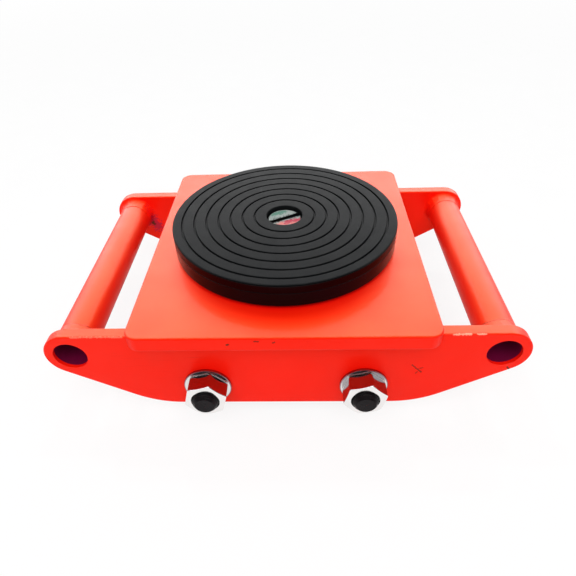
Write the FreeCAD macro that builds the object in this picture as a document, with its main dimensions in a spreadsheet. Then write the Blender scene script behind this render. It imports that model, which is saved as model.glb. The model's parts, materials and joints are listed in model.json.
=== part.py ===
"""Machine skate: a low four-roller steel trolley with a swivelling, rubber-faced load cap.

Millimetres. The skate stands on z = 0 with the origin under the middle of its deck. Its length and its
two tow handles lie along X, and its two roller axles lie along Y. Two side plates carry the axles, the
handle tubes and the deck, and the cap turns on a thrust ball bearing that is let into the deck.
"""
import FreeCAD
import Part
import Sketcher
import os

Vector = FreeCAD.Vector

# Driving dimensions, in millimetres and degrees.
SIZES = {
    # Rollers and their axles.
    "roller_diameter": 75.0,
    "roller_width": 67.0,
    "roller_edge": 2.0,
    "roller_gap": 6.0,
    "roller_side_gap": 8.5,
    "roller_row_gap": 23.5,
    "axle_diameter": 20.0,
    "axle_thread": 16.0,
    "axle_end_proud": 3.5,
    "axle_end_chamfer": 2.0,
    "axle_hole_clearance": 0.5,
    # Ball bearings of the rollers.
    "bearing_outer": 47.0,
    "bearing_width": 14.0,
    "bearing_inset": 1.0,
    "bearing_shoulder": 7.0,
    "bearing_ball": 7.94,
    "bearing_ball_count": 8,
    "bearing_groove": 1.25,
    "bearing_cage_wall": 2.4,
    "bearing_cage_width": 10.0,
    "shield_thickness": 0.6,
    "shield_inset": 0.8,
    "shield_lip": 0.7,
    "shield_gap": 0.4,
    "spacer_wall": 3.0,
    # Fits.
    "slide_clearance": 0.05,
    "running_clearance": 0.1,
    "ball_clearance": 0.2,
    # Washers and nuts on the axle ends.
    "washer_diameter": 30.0,
    "washer_thickness": 2.0,
    "nut_flats": 24.0,
    "nut_height": 11.5,
    "nut_turn": 15.5,
    "nut_chamfer_angle": 30.0,
    # Side plates and handles.
    "plate_thickness": 8.0,
    "plate_drop": 18.5,
    "plate_taper": 31.0,
    "plate_corner_radius": 60.0,
    "plate_edge_round": 1.0,
    "handle_distance": 260.0,
    "handle_bore": 20.7,
    "handle_wall": 1.65,
    "handle_land": 4.0,
    "handle_weld_leg": 2.8,
    # Deck.
    "deck_clearance": 6.0,
    "deck_length": 178.5,
    "deck_overhang": 11.75,
    "deck_thickness": 10.0,
    "deck_corner": 8.0,
    "deck_edge_round": 1.2,
    "deck_weld_leg": 5.0,
    "deck_weld_length": 36.0,
    "deck_weld_margin": 14.0,
    "deck_weld_count": 3,
    # Thrust ball bearing under the cap.
    "thrust_bore": 40.0,
    "thrust_outer": 60.0,
    "thrust_race": 4.2,
    "thrust_ball": 6.6,
    "thrust_ball_count": 14,
    "thrust_groove": 1.0,
    "thrust_cage_thickness": 2.4,
    "thrust_cage_margin": 1.5,
    "thrust_seat_depth": 4.5,
    # Swivelling cap with its bush and rubber pad.
    "cap_diameter": 150.0,
    "cap_thickness": 10.0,
    "cap_gap": 2.0,
    "cap_edge": 1.0,
    "bush_wall": 2.0,
    "pad_thickness": 6.0,
    "pad_hole": 24.0,
    "pad_edge": 1.0,
    "groove_count": 7,
    "groove_width": 1.3,
    "groove_depth": 1.4,
    "groove_inner_land": 8.2,
    "groove_outer_land": 6.5,
    # Slotted pivot screw with its washer and nut.
    "pivot_shoulder": 16.0,
    "pivot_thread": 12.0,
    "pivot_hole_clearance": 0.25,
    "pivot_head_gap": 0.5,
    "pivot_head_sink": 2.6,
    "pivot_head_play": 0.3,
    "pivot_head_edge": 0.5,
    "pivot_slot_width": 3.6,
    "pivot_slot_depth": 1.6,
    "pivot_slot_turn": 27.0,
    "pivot_washer_diameter": 24.0,
    "pivot_washer_thickness": 2.5,
    "pivot_nut_flats": 19.0,
    "pivot_nut_height": 10.0,
    "pivot_end_proud": 2.5,
}

# Places and sizes that follow from the driving dimensions.
PLACES = {
    "axle_height": "Sizes.roller_diameter / 2",
    "axle_spacing": "Sizes.roller_diameter + Sizes.roller_row_gap",
    "axle_radius": "Sizes.axle_diameter / 2",
    "roller_centre": "(Sizes.roller_gap + Sizes.roller_width) / 2",
    "plate_inside": "Sizes.roller_gap / 2 + Sizes.roller_width + Sizes.roller_side_gap",
    "plate_outside": "Places.plate_inside + Sizes.plate_thickness",
    "plate_top": "Sizes.roller_diameter + Sizes.deck_clearance",
    "plate_bottom": "Places.axle_height - Sizes.plate_drop",
    "tube_radius": "Sizes.handle_bore / 2 + Sizes.handle_wall",
    "plate_end_radius": "Places.tube_radius + Sizes.handle_land",
    "handle_height": "Places.plate_top - Places.plate_end_radius",
    "plate_tip": "Sizes.handle_distance / 2 + Places.plate_end_radius / tan(Sizes.plate_taper / 2)",
    "plate_corner": "Places.plate_tip - (Places.plate_top - Places.plate_bottom) / tan(Sizes.plate_taper)",
    "bearing_offset": "Sizes.roller_width / 2 - Sizes.bearing_inset - Sizes.bearing_width / 2",
    "bearing_pitch_radius": "(Sizes.axle_diameter + Sizes.bearing_outer) / 4",
    "bearing_track_radius": "Sizes.bearing_ball / 2 + Sizes.ball_clearance",
    "bearing_land": "Sizes.bearing_ball / 2 - Sizes.bearing_groove",
    "inner_land_radius": "Places.bearing_pitch_radius - Places.bearing_land",
    "outer_land_radius": "Places.bearing_pitch_radius + Places.bearing_land",
    "shield_depth": "Sizes.shield_inset + Sizes.shield_thickness",
    "shield_radius": "Places.outer_land_radius + Sizes.shield_lip",
    "spacer_bore_radius": "Places.axle_radius + Sizes.slide_clearance",
    "spacer_radius": "Places.spacer_bore_radius + Sizes.spacer_wall",
    "bearing_seat_radius": "Sizes.bearing_outer / 2 + Sizes.slide_clearance",
    "axle_end": "Places.plate_outside + Sizes.washer_thickness + Sizes.nut_height + Sizes.axle_end_proud",
    "axle_bore_radius": "Sizes.axle_thread / 2 + Sizes.axle_hole_clearance",
    "axle_nut_bore": "Sizes.axle_thread + 2 * Sizes.slide_clearance",
    "deck_top": "Places.plate_top + Sizes.deck_thickness",
    "deck_half_width": "Places.plate_outside + Sizes.deck_overhang",
    "deck_weld_first": "Sizes.deck_length / 2 - Sizes.deck_weld_margin - Sizes.deck_weld_length / 2",
    "thrust_floor": "Places.deck_top - Sizes.thrust_seat_depth",
    "thrust_pitch_radius": "(Sizes.thrust_bore + Sizes.thrust_outer) / 4",
    "thrust_track_radius": "Sizes.thrust_ball / 2 + Sizes.ball_clearance",
    "thrust_land": "Sizes.thrust_ball / 2 - Sizes.thrust_groove",
    "thrust_middle": "Places.thrust_floor + Sizes.thrust_race + Places.thrust_land",
    "thrust_roof": "Places.thrust_middle + Places.thrust_land + Sizes.thrust_race",
    "thrust_seat_radius": "Sizes.thrust_outer / 2 + Sizes.slide_clearance",
    "thrust_hub_radius": "Sizes.thrust_bore / 2 - Sizes.slide_clearance",
    "cap_bottom": "Places.deck_top + Sizes.cap_gap",
    "cap_top": "Places.cap_bottom + Sizes.cap_thickness",
    "pad_top": "Places.cap_top + Sizes.pad_thickness",
    "bush_bore_radius": "Sizes.pivot_shoulder / 2 + Sizes.running_clearance",
    "bush_radius": "Places.bush_bore_radius + Sizes.bush_wall",
    "hub_bore_radius": "Places.bush_radius + Sizes.slide_clearance",
    "groove_first": "Sizes.pad_hole / 2 + Sizes.groove_inner_land",
    "groove_pitch": "(Sizes.cap_diameter / 2 - Sizes.groove_outer_land - Places.groove_first)"
                    " / (Sizes.groove_count - 1)",
    "pivot_head_radius": "Sizes.pad_hole / 2 - Sizes.pivot_head_gap",
    "pivot_head_bottom": "Places.cap_top + Sizes.pivot_head_play",
    "pivot_head_top": "Places.pad_top - Sizes.pivot_head_sink",
    "pivot_hole_radius": "Sizes.pivot_thread / 2 + Sizes.pivot_hole_clearance",
    "pivot_nut_bore": "Sizes.pivot_thread + 2 * Sizes.slide_clearance",
    "pivot_nut_top": "Places.plate_top - Sizes.pivot_washer_thickness",
    "pivot_end": "Places.pivot_nut_top - Sizes.pivot_nut_height - Sizes.pivot_end_proud",
}

# The four rollers, each with the signs of its X and Y place.
ROLLERS = {
    "front_left": ("-", "-"),
    "front_right": ("", "-"),
    "rear_left": ("-", ""),
    "rear_right": ("", ""),
}

# Points closer than this, in millimetres, are the same.
SAME_PLACE = 0.001

doc = FreeCAD.newDocument("MachineSkate")
subparts = []


def fill_sheet(name, cells):
    """Makes a sheet with one labelled, aliased cell for each entry."""
    sheet = doc.addObject("Spreadsheet::Sheet", name)
    for row, (alias, content) in enumerate(cells.items(), start=1):
        sheet.set(f"A{row}", alias)
        sheet.set(f"B{row}", content)
        sheet.setAlias(f"B{row}", alias)
    doc.recompute()
    return sheet


sizes = fill_sheet("Sizes", {alias: str(value) for alias, value in SIZES.items()})
places = fill_sheet("Places", {alias: "=" + formula for alias, formula in PLACES.items()})


def number(expression):
    """Works out an expression of the sheets."""
    return float(places.evalExpression(expression))


def new_body(label, x="0", y="0", z="0"):
    """Starts a sub-part whose own origin stands at the given place."""
    body = doc.addObject("PartDesign::Body", label)
    body.Label = label
    for axis, expression in zip("xyz", (x, y, z)):
        body.setExpression(f"Placement.Base.{axis}", expression)
    subparts.append(body)
    return body


def datum(body, role):
    """Finds a plane or an axis of a sub-part's own origin."""
    return next(item for item in body.Origin.OriginFeatures if item.Role == role)


def new_sketch(body, plane):
    """Starts a sketch on a plane of a sub-part's own origin."""
    sketch = body.newObject("Sketcher::SketchObject", "sketch")
    sketch.AttachmentSupport = [(datum(body, plane), "")]
    sketch.MapMode = "FlatFace"
    return sketch


def pin_point(sketch, line, end, x, y):
    """Holds a point of the sketch at the place that two expressions give."""
    for kind, expression in (("DistanceX", x), ("DistanceY", y)):
        value = number(expression)
        constraint = Sketcher.Constraint(kind, -1, 1, line, end, value)
        index = sketch.addConstraint(constraint)
        sketch.setExpression(f"Constraints[{index}]", expression)


def draw_outline(sketch, corners):
    """Draws a closed outline of straight lines through corners given as pairs of expressions."""
    first = sketch.GeometryCount
    points = [Vector(number(x), number(y), 0) for x, y in corners]
    count = len(points)
    for index, point in enumerate(points):
        sketch.addGeometry(Part.LineSegment(point, points[(index + 1) % count]), False)
    for index, (x, y) in enumerate(corners):
        following = first + (index + 1) % count
        sketch.addConstraint(Sketcher.Constraint("Coincident", first + index, 2, following, 1))
        pin_point(sketch, first + index, 1, x, y)


def draw_circle(sketch, x, y, radius):
    """Draws a circle whose centre and radius are given as expressions."""
    centre = Vector(number(x), number(y), 0)
    line = sketch.addGeometry(Part.Circle(centre, Vector(0, 0, 1), number(radius)), False)
    pin_point(sketch, line, 3, x, y)
    index = sketch.addConstraint(Sketcher.Constraint("Radius", line, number(radius)))
    sketch.setExpression(f"Constraints[{index}]", radius)


def turning_plane(axis):
    """Gives the plane on which a section is drawn as radius across and distance along the axis."""
    return {"Y_Axis": "XY_Plane", "Z_Axis": "XZ_Plane"}[axis]


def add_turned(body, axis, sections):
    """Revolves closed sections, as corners of radius and distance along the axis."""
    sketch = new_sketch(body, turning_plane(axis))
    for corners in sections:
        draw_outline(sketch, corners)
    turned = body.newObject("PartDesign::Revolution", "turned")
    turned.Profile = sketch
    turned.ReferenceAxis = (datum(body, axis), [""])
    turned.Angle = 360
    doc.recompute()
    return turned


def finish_cut(body, feature):
    """Recomputes a cutting feature and makes sure that it takes material away."""
    before = feature.BaseFeature.Shape.Volume
    doc.recompute()
    if feature.Shape.isNull() or feature.Shape.Volume >= before:
        raise RuntimeError(f"{body.Label}: {feature.Name} cuts nothing")
    return feature


def cut_turned(body, axis, sketch):
    """Cuts the revolved outlines of a sketch out of a sub-part."""
    groove = body.newObject("PartDesign::Groove", "groove")
    groove.Profile = sketch
    groove.ReferenceAxis = (datum(body, axis), [""])
    groove.Angle = 360
    return finish_cut(body, groove)


def cut_sections(body, axis, sections):
    """Cuts revolved straight-sided sections out of a sub-part."""
    sketch = new_sketch(body, turning_plane(axis))
    for corners in sections:
        draw_outline(sketch, corners)
    return cut_turned(body, axis, sketch)


def cut_tracks(body, axis, pitch_radius, track_radius, middles):
    """Cuts round ball tracks, one about each given middle along the axis."""
    sketch = new_sketch(body, turning_plane(axis))
    for middle in middles:
        draw_circle(sketch, pitch_radius, middle, track_radius)
    return cut_turned(body, axis, sketch)


def add_pad(body, sketch, length, symmetric=False):
    """Thickens a sketch along its plane's normal."""
    pad = body.newObject("PartDesign::Pad", "pad")
    pad.Profile = sketch
    pad.Midplane = symmetric
    pad.setExpression("Length", length)
    doc.recompute()
    return pad


def cut_holes(body, sketch, depth):
    """Cuts a sketch out of the pad that was drawn on the same plane."""
    pocket = body.newObject("PartDesign::Pocket", "holes")
    pocket.Profile = sketch
    pocket.Reversed = True
    pocket.setExpression("Length", depth)
    return finish_cut(body, pocket)


def repeat(body, steps):
    """Repeats the whole sub-part along up to two axes, given as axis, count and total length."""
    pattern = body.newObject("PartDesign::LinearPattern", "repeat")
    pattern.TransformMode = "Whole shape"
    for suffix, (axis, count, length) in zip(("", "2"), steps):
        setattr(pattern, f"Direction{suffix}", (datum(body, axis), [""]))
        pattern.setExpression(f"Length{suffix}", length)
        pattern.setExpression(f"Occurrences{suffix}", count)
    body.Tip = pattern
    doc.recompute()
    return pattern


def ring_of(body, feature, axis, count):
    """Repeats one feature evenly round an axis of the sub-part."""
    pattern = body.newObject("PartDesign::PolarPattern", "ring")
    pattern.Originals = [feature]
    pattern.Axis = (datum(body, axis), [""])
    pattern.Angle = 360
    pattern.setExpression("Occurrences", count)
    body.Tip = pattern
    doc.recompute()
    return pattern


def add_sphere(body, kind, radius, plane, centre):
    """Adds or takes away a sphere, with its centre in the axes of a plane and its poles square to it."""
    sphere = body.newObject(f"PartDesign::{kind}Sphere", "sphere")
    sphere.AttachmentSupport = [(datum(body, plane), "")]
    sphere.MapMode = "FlatFace"
    sphere.setExpression("Radius", radius)
    for axis, expression in zip("xyz", centre):
        sphere.setExpression(f"AttachmentOffset.Base.{axis}", expression)
    doc.recompute()
    return sphere


def round_off(body, feature, names, radius):
    """Rounds the named edges, or all edges of the named faces, of a feature."""
    fillet = body.newObject("PartDesign::Fillet", "rounding")
    fillet.Base = (feature, names)
    fillet.setExpression("Radius", radius)
    doc.recompute()
    return fillet


def corner_edges(shape, direction):
    """Lists the straight edges that run in one direction, as pairs of name and middle point."""
    found = []
    for index, edge in enumerate(shape.Edges, start=1):
        start, end = edge.Vertexes[0].Point, edge.Vertexes[-1].Point
        span = end - start
        if span.Length > 0 and abs(span.normalize().dot(direction)) > 0.999:
            found.append((f"Edge{index}", (start + end) * 0.5))
    return found


def flat_faces(shape, direction):
    """Names the flat faces that are square to one direction."""
    return [
        f"Face{index}"
        for index, face in enumerate(shape.Faces, start=1)
        if isinstance(face.Surface, Part.Plane) and abs(face.Surface.Axis.dot(direction)) > 0.999
    ]


def rectangle(inner, outer, low, high):
    """Gives the corners of a rectangle between two radii and two distances along an axis."""
    return [(inner, low), (outer, low), (outer, high), (inner, high)]


def make_side_plate(label, face):
    """Makes a side plate with round ends, tapered lower edges and holes for handles and axles."""
    plate = new_body(label, y=face)
    outline = new_sketch(plate, "XZ_Plane")
    draw_outline(outline, [
        ("-Places.plate_tip", "Places.plate_top"),
        ("-Places.plate_corner", "Places.plate_bottom"),
        ("Places.plate_corner", "Places.plate_bottom"),
        ("Places.plate_tip", "Places.plate_top"),
    ])
    blank = add_pad(plate, outline, "Sizes.plate_thickness")
    corners = corner_edges(blank.Shape, Vector(0, 1, 0))
    middle_height = number("Places.axle_height")
    tips = [name for name, point in corners if point.z > middle_height]
    ends = round_off(plate, blank, tips, "Places.plate_end_radius")
    corners = corner_edges(ends.Shape, Vector(0, 1, 0))
    bottom = number("Places.plate_bottom")
    feet = [name for name, point in corners if abs(point.z - bottom) < SAME_PLACE]
    shaped = round_off(plate, ends, feet, "Sizes.plate_corner_radius")
    round_off(plate, shaped, flat_faces(shaped.Shape, Vector(0, 1, 0)), "Sizes.plate_edge_round")
    holes = new_sketch(plate, "XZ_Plane")
    for sign in ("-", ""):
        handle_x, axle_x = f"{sign}Sizes.handle_distance / 2", f"{sign}Places.axle_spacing / 2"
        draw_circle(holes, handle_x, "Places.handle_height", "Sizes.handle_bore / 2")
        draw_circle(holes, axle_x, "Places.axle_height", "Places.axle_bore_radius")
    cut_holes(plate, holes, "Sizes.plate_thickness")


def make_deck():
    """Makes the deck plate with the seat of the thrust bearing and the hole of the pivot screw."""
    deck = new_body("top_plate", z="Places.plate_top")
    outline = new_sketch(deck, "XY_Plane")
    half_length = "Sizes.deck_length / 2"
    draw_outline(outline, [
        (f"-{half_length}", "-Places.deck_half_width"),
        (half_length, "-Places.deck_half_width"),
        (half_length, "Places.deck_half_width"),
        (f"-{half_length}", "Places.deck_half_width"),
    ])
    blank = add_pad(deck, outline, "Sizes.deck_thickness")
    corners = [name for name, point in corner_edges(blank.Shape, Vector(0, 0, 1))]
    shaped = round_off(deck, blank, corners, "Sizes.deck_corner")
    round_off(deck, shaped, flat_faces(shaped.Shape, Vector(0, 0, 1)), "Sizes.deck_edge_round")
    top = "Sizes.deck_thickness"
    floor = "Sizes.deck_thickness - Sizes.thrust_seat_depth"
    cut_sections(deck, "Z_Axis", [[
        ("0", "0"),
        ("Places.pivot_hole_radius", "0"),
        ("Places.pivot_hole_radius", floor),
        ("Places.thrust_seat_radius", floor),
        ("Places.thrust_seat_radius", top),
        ("0", top),
    ]])


def make_handles():
    """Makes the two handle tubes between the side plates and the weld rings at their ends."""
    for side, sign in (("left", "-"), ("right", "")):
        tube = new_body(f"handle_tube_{side}", x=f"{sign}Sizes.handle_distance / 2", z="Places.handle_height")
        bore, half = "Sizes.handle_bore / 2", "Places.plate_inside"
        add_turned(tube, "Y_Axis", [rectangle(bore, "Places.tube_radius", f"-{half}", half)])
    beads = new_body("handle_weld_beads", x="-Sizes.handle_distance / 2", z="Places.handle_height")
    outer = "Places.tube_radius + Sizes.handle_weld_leg"
    sections = []
    for sign in ("-", ""):
        root = f"{sign}Places.plate_inside"
        toe = f"{sign}(Places.plate_inside - Sizes.handle_weld_leg)"
        sections.append([("Places.tube_radius", root), (outer, root), ("Places.tube_radius", toe)])
    add_turned(beads, "Y_Axis", sections)
    repeat(beads, [("X_Axis", "2", "Sizes.handle_distance")])


def make_deck_welds():
    """Makes the short weld beads between the side plates and the underside of the deck's overhang."""
    beads = new_body("top_plate_weld_beads", x="-Places.deck_weld_first", z="Places.plate_top")
    section = new_sketch(beads, "YZ_Plane")
    for sign in ("-", ""):
        face = f"{sign}Places.plate_outside"
        toe = f"{sign}(Places.plate_outside + Sizes.deck_weld_leg)"
        draw_outline(section, [(face, "0"), (toe, "0"), (face, "-Sizes.deck_weld_leg")])
    add_pad(beads, section, "Sizes.deck_weld_length", symmetric=True)
    repeat(beads, [("X_Axis", "Sizes.deck_weld_count", "2 * Places.deck_weld_first")])


def make_axles():
    """Makes the two axle bars, each with a threaded end of smaller diameter through either side plate."""
    for side, sign in (("left", "-"), ("right", "")):
        axle = new_body(f"axle_{side}", x=f"{sign}Places.axle_spacing / 2", z="Places.axle_height")
        thread = "Sizes.axle_thread / 2"
        tip = "Sizes.axle_thread / 2 - Sizes.axle_end_chamfer"
        chamfer = "(Places.axle_end - Sizes.axle_end_chamfer)"
        add_turned(axle, "Y_Axis", [[
            ("0", "-Places.axle_end"),
            (tip, "-Places.axle_end"),
            (thread, f"-{chamfer}"),
            (thread, "-Places.plate_inside"),
            ("Places.axle_radius", "-Places.plate_inside"),
            ("Places.axle_radius", "Places.plate_inside"),
            (thread, "Places.plate_inside"),
            (thread, chamfer),
            (tip, "Places.axle_end"),
            ("0", "Places.axle_end"),
        ]])


def make_hex_nut(body, plane, axis, flats, height, bore, turn):
    """Makes a hexagon nut, chamfered on both faces, about the middle of its own origin."""
    corner_radius = f"{flats} / sqrt(3)"
    outline = new_sketch(body, plane)
    angles = [f"({turn} + {60 * step})" for step in range(6)]
    draw_outline(outline, [
        (f"{corner_radius} * cos{angle}", f"{corner_radius} * sin{angle}") for angle in angles
    ])
    draw_circle(outline, "0", "0", f"{bore} / 2")
    add_pad(body, outline, height, symmetric=True)
    flat_radius = f"{flats} / 2"
    slope = f"({corner_radius} - {flat_radius}) * tan(Sizes.nut_chamfer_angle)"
    sections = []
    for sign in ("-", ""):
        face = f"{sign}{height} / 2"
        below = f"{sign}({height} / 2 - {slope})"
        sections.append([(flat_radius, face), (corner_radius, face), (corner_radius, below)])
    cut_sections(body, axis, sections)


def make_axle_fasteners():
    """Makes the washers and nuts that hold the axle ends against the side plates."""
    across = ("X_Axis", "2", "Places.axle_spacing")
    place = {"x": "-Places.axle_spacing / 2", "z": "Places.axle_height"}
    washers = new_body("axle_washers", y="-Places.plate_outside - Sizes.washer_thickness", **place)
    add_turned(washers, "Y_Axis", [
        rectangle("Places.axle_bore_radius", "Sizes.washer_diameter / 2", "0", "Sizes.washer_thickness"),
    ])
    repeat(washers, [across, ("Y_Axis", "2", "2 * Places.plate_outside + Sizes.washer_thickness")])
    nut_middle = "(Places.plate_outside + Sizes.washer_thickness + Sizes.nut_height / 2)"
    nuts = new_body("axle_nuts", y=f"-{nut_middle}", **place)
    make_hex_nut(nuts, "XZ_Plane", "Y_Axis", "Sizes.nut_flats", "Sizes.nut_height", "Places.axle_nut_bore",
                 "Sizes.nut_turn")
    repeat(nuts, [across, ("Y_Axis", "2", f"2 * {nut_middle}")])


def make_axle_stack():
    """Makes what is stacked on the axles between the side plates: spacers, sleeves and inner rings."""
    across = ("X_Axis", "2", "Places.axle_spacing")
    along = ("Y_Axis", "2", "2 * Places.roller_centre")
    place = {"x": "-Places.axle_spacing / 2", "z": "Places.axle_height"}
    bore, radius = "Places.spacer_bore_radius", "Places.spacer_radius"
    end_length = "(Sizes.roller_side_gap + Sizes.bearing_inset)"
    ends = new_body("axle_end_spacers", y="-Places.plate_inside", **place)
    add_turned(ends, "Y_Axis", [rectangle(bore, radius, "0", end_length)])
    repeat(ends, [across, ("Y_Axis", "2", f"2 * Places.plate_inside - {end_length}")])
    half_gap = "(Sizes.roller_gap / 2 + Sizes.bearing_inset)"
    centres = new_body("axle_centre_spacers", **place)
    add_turned(centres, "Y_Axis", [rectangle(bore, radius, f"-{half_gap}", half_gap)])
    repeat(centres, [across])
    half_sleeve = "(Places.bearing_offset - Sizes.bearing_width / 2)"
    sleeves = new_body("bearing_spacer_sleeves", y="-Places.roller_centre", **place)
    add_turned(sleeves, "Y_Axis", [rectangle(bore, radius, f"-{half_sleeve}", half_sleeve)])
    repeat(sleeves, [across, along])
    rings = new_body("bearing_inner_rings", y="-Places.roller_centre", **place)
    add_turned(rings, "Y_Axis", [
        rectangle(bore, "Places.inner_land_radius", *bearing_faces(sign)) for sign in ("-", "")
    ])
    cut_tracks(rings, "Y_Axis", "Places.bearing_pitch_radius", "Places.bearing_track_radius",
               ["-Places.bearing_offset", "Places.bearing_offset"])
    repeat(rings, [across, along])


def bearing_faces(sign):
    """Gives both faces of one of a roller's bearings, along the axle from the middle of the roller."""
    middle = f"{sign}Places.bearing_offset"
    return f"{middle} - Sizes.bearing_width / 2", f"{middle} + Sizes.bearing_width / 2"


def make_roller(name, x_sign, y_sign):
    """Makes one roller with its two ball bearings' outer rings, shields, cages and balls."""
    place = {
        "x": f"{x_sign}Places.axle_spacing / 2",
        "y": f"{y_sign}Places.roller_centre",
        "z": "Places.axle_height",
    }
    make_roller_body(new_body(f"roller_{name}", **place))
    make_outer_rings(new_body(f"bearing_outer_rings_{name}", **place))
    make_shields(new_body(f"bearing_shields_{name}", **place))
    make_cages(new_body(f"bearing_cages_{name}", **place))
    make_balls(new_body(f"bearing_balls_{name}", **place))


def make_roller_body(roller):
    """Turns the solid roller, bored from both ends for its bearings up to a shoulder."""
    half = "Sizes.roller_width / 2"
    rim = "Sizes.roller_diameter / 2"
    edge_radius = "Sizes.roller_diameter / 2 - Sizes.roller_edge"
    edge = "(Sizes.roller_width / 2 - Sizes.roller_edge)"
    shoulder = "(Places.bearing_offset - Sizes.bearing_width / 2)"
    bore = "Sizes.bearing_outer / 2 - Sizes.bearing_shoulder"
    seat = "Places.bearing_seat_radius"
    upper = [(bore, shoulder), (seat, shoulder), (seat, half), (edge_radius, half), (rim, edge)]
    lower = [(radius, f"-{along}") for radius, along in reversed(upper)]
    add_turned(roller, "Y_Axis", [upper + lower])


def make_outer_rings(rings):
    """Turns the two outer rings, with a ball track and a step for a shield at either face."""
    sections = []
    for sign in ("-", ""):
        low, high = bearing_faces(sign)
        land, step = "Places.outer_land_radius", "Places.shield_radius"
        sections.append([
            ("Sizes.bearing_outer / 2", low),
            ("Sizes.bearing_outer / 2", high),
            (step, high),
            (step, f"{high} - Places.shield_depth"),
            (land, f"{high} - Places.shield_depth"),
            (land, f"{low} + Places.shield_depth"),
            (step, f"{low} + Places.shield_depth"),
            (step, low),
        ])
    add_turned(rings, "Y_Axis", sections)
    cut_tracks(rings, "Y_Axis", "Places.bearing_pitch_radius", "Places.bearing_track_radius",
               ["-Places.bearing_offset", "Places.bearing_offset"])


def make_shields(shields):
    """Turns the four thin shields that close the bearings, clear of the inner rings."""
    inner = "Places.inner_land_radius + Sizes.shield_gap"
    sections = []
    for sign in ("-", ""):
        low, high = bearing_faces(sign)
        sections.append(rectangle(inner, "Places.shield_radius", f"{low} + Sizes.shield_inset",
                                  f"{low} + Places.shield_depth"))
        sections.append(rectangle(inner, "Places.shield_radius", f"{high} - Places.shield_depth",
                                  f"{high} - Sizes.shield_inset"))
    add_turned(shields, "Y_Axis", sections)


def make_cages(cages):
    """Makes the two ball cages, each a ring with a pocket for every ball."""
    inner = "Places.bearing_pitch_radius - Sizes.bearing_cage_wall / 2"
    outer = "Places.bearing_pitch_radius + Sizes.bearing_cage_wall / 2"
    middle = "-Places.bearing_offset"
    add_turned(cages, "Y_Axis", [
        rectangle(inner, outer, f"{middle} - Sizes.bearing_cage_width / 2",
                  f"{middle} + Sizes.bearing_cage_width / 2"),
    ])
    centre = (middle, "0", "Places.bearing_pitch_radius")
    pocket = add_sphere(cages, "Subtractive", "Places.bearing_track_radius", "YZ_Plane", centre)
    ring_of(cages, pocket, "Y_Axis", "Sizes.bearing_ball_count")
    repeat(cages, [("Y_Axis", "2", "2 * Places.bearing_offset")])


def make_balls(balls):
    """Makes the balls of both bearings."""
    centre = ("-Places.bearing_offset", "0", "Places.bearing_pitch_radius")
    ball = add_sphere(balls, "Additive", "Sizes.bearing_ball / 2", "YZ_Plane", centre)
    ring_of(balls, ball, "Y_Axis", "Sizes.bearing_ball_count")
    repeat(balls, [("Y_Axis", "2", "2 * Places.bearing_offset")])


def make_thrust_bearing():
    """Makes the thrust ball bearing between deck and cap: two races, a cage and its balls."""
    inner, outer = "Sizes.thrust_bore / 2", "Sizes.thrust_outer / 2"
    for label, low, high in (
        ("thrust_race_lower", "-Places.thrust_land - Sizes.thrust_race", "-Places.thrust_land"),
        ("thrust_race_upper", "Places.thrust_land", "Places.thrust_land + Sizes.thrust_race"),
    ):
        race = new_body(label, z="Places.thrust_middle")
        add_turned(race, "Z_Axis", [rectangle(inner, outer, low, high)])
        cut_tracks(race, "Z_Axis", "Places.thrust_pitch_radius", "Places.thrust_track_radius", ["0"])
    cage = new_body("thrust_cage", z="Places.thrust_middle")
    half = "Sizes.thrust_cage_thickness / 2"
    margin = "Sizes.thrust_cage_margin"
    add_turned(cage, "Z_Axis", [rectangle(f"{inner} + {margin}", f"{outer} - {margin}", f"-{half}", half)])
    centre = ("Places.thrust_pitch_radius", "0", "0")
    pocket = add_sphere(cage, "Subtractive", "Places.thrust_track_radius", "XY_Plane", centre)
    ring_of(cage, pocket, "Z_Axis", "Sizes.thrust_ball_count")
    balls = new_body("thrust_balls", z="Places.thrust_middle")
    ball = add_sphere(balls, "Additive", "Sizes.thrust_ball / 2", "XY_Plane", centre)
    ring_of(balls, ball, "Z_Axis", "Sizes.thrust_ball_count")


def make_cap():
    """Makes the steel cap with its bearing recess, the bush in its hub and the grooved rubber pad."""
    rim = "Sizes.cap_diameter / 2"
    recess = "Places.thrust_roof - Places.cap_bottom"
    cap = new_body("cap_disc", z="Places.cap_bottom")
    add_turned(cap, "Z_Axis", [[
        ("Places.hub_bore_radius", "0"),
        ("Places.thrust_hub_radius", "0"),
        ("Places.thrust_hub_radius", recess),
        ("Places.thrust_seat_radius", recess),
        ("Places.thrust_seat_radius", "0"),
        (f"{rim} - Sizes.cap_edge", "0"),
        (rim, "Sizes.cap_edge"),
        (rim, "Sizes.cap_thickness"),
        ("Places.hub_bore_radius", "Sizes.cap_thickness"),
    ]])
    bush = new_body("cap_bush", z="Places.cap_bottom")
    add_turned(bush, "Z_Axis", [
        rectangle("Places.bush_bore_radius", "Places.bush_radius", "0", "Sizes.cap_thickness"),
    ])
    pad = new_body("rubber_pad", z="Places.cap_top")
    top = "Sizes.pad_thickness"
    profile = [("Sizes.pad_hole / 2", "0"), ("Sizes.pad_hole / 2", top)]
    for step in range(int(number("Sizes.groove_count"))):
        middle = f"Places.groove_first + {step} * Places.groove_pitch"
        floor = "Sizes.pad_thickness - Sizes.groove_depth"
        near, far = f"{middle} - Sizes.groove_width / 2", f"{middle} + Sizes.groove_width / 2"
        profile += [(near, top), (near, floor), (far, floor), (far, top)]
    profile += [(f"{rim} - Sizes.pad_edge", top), (rim, f"{top} - Sizes.pad_edge"), (rim, "0")]
    add_turned(pad, "Z_Axis", [profile])


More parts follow.
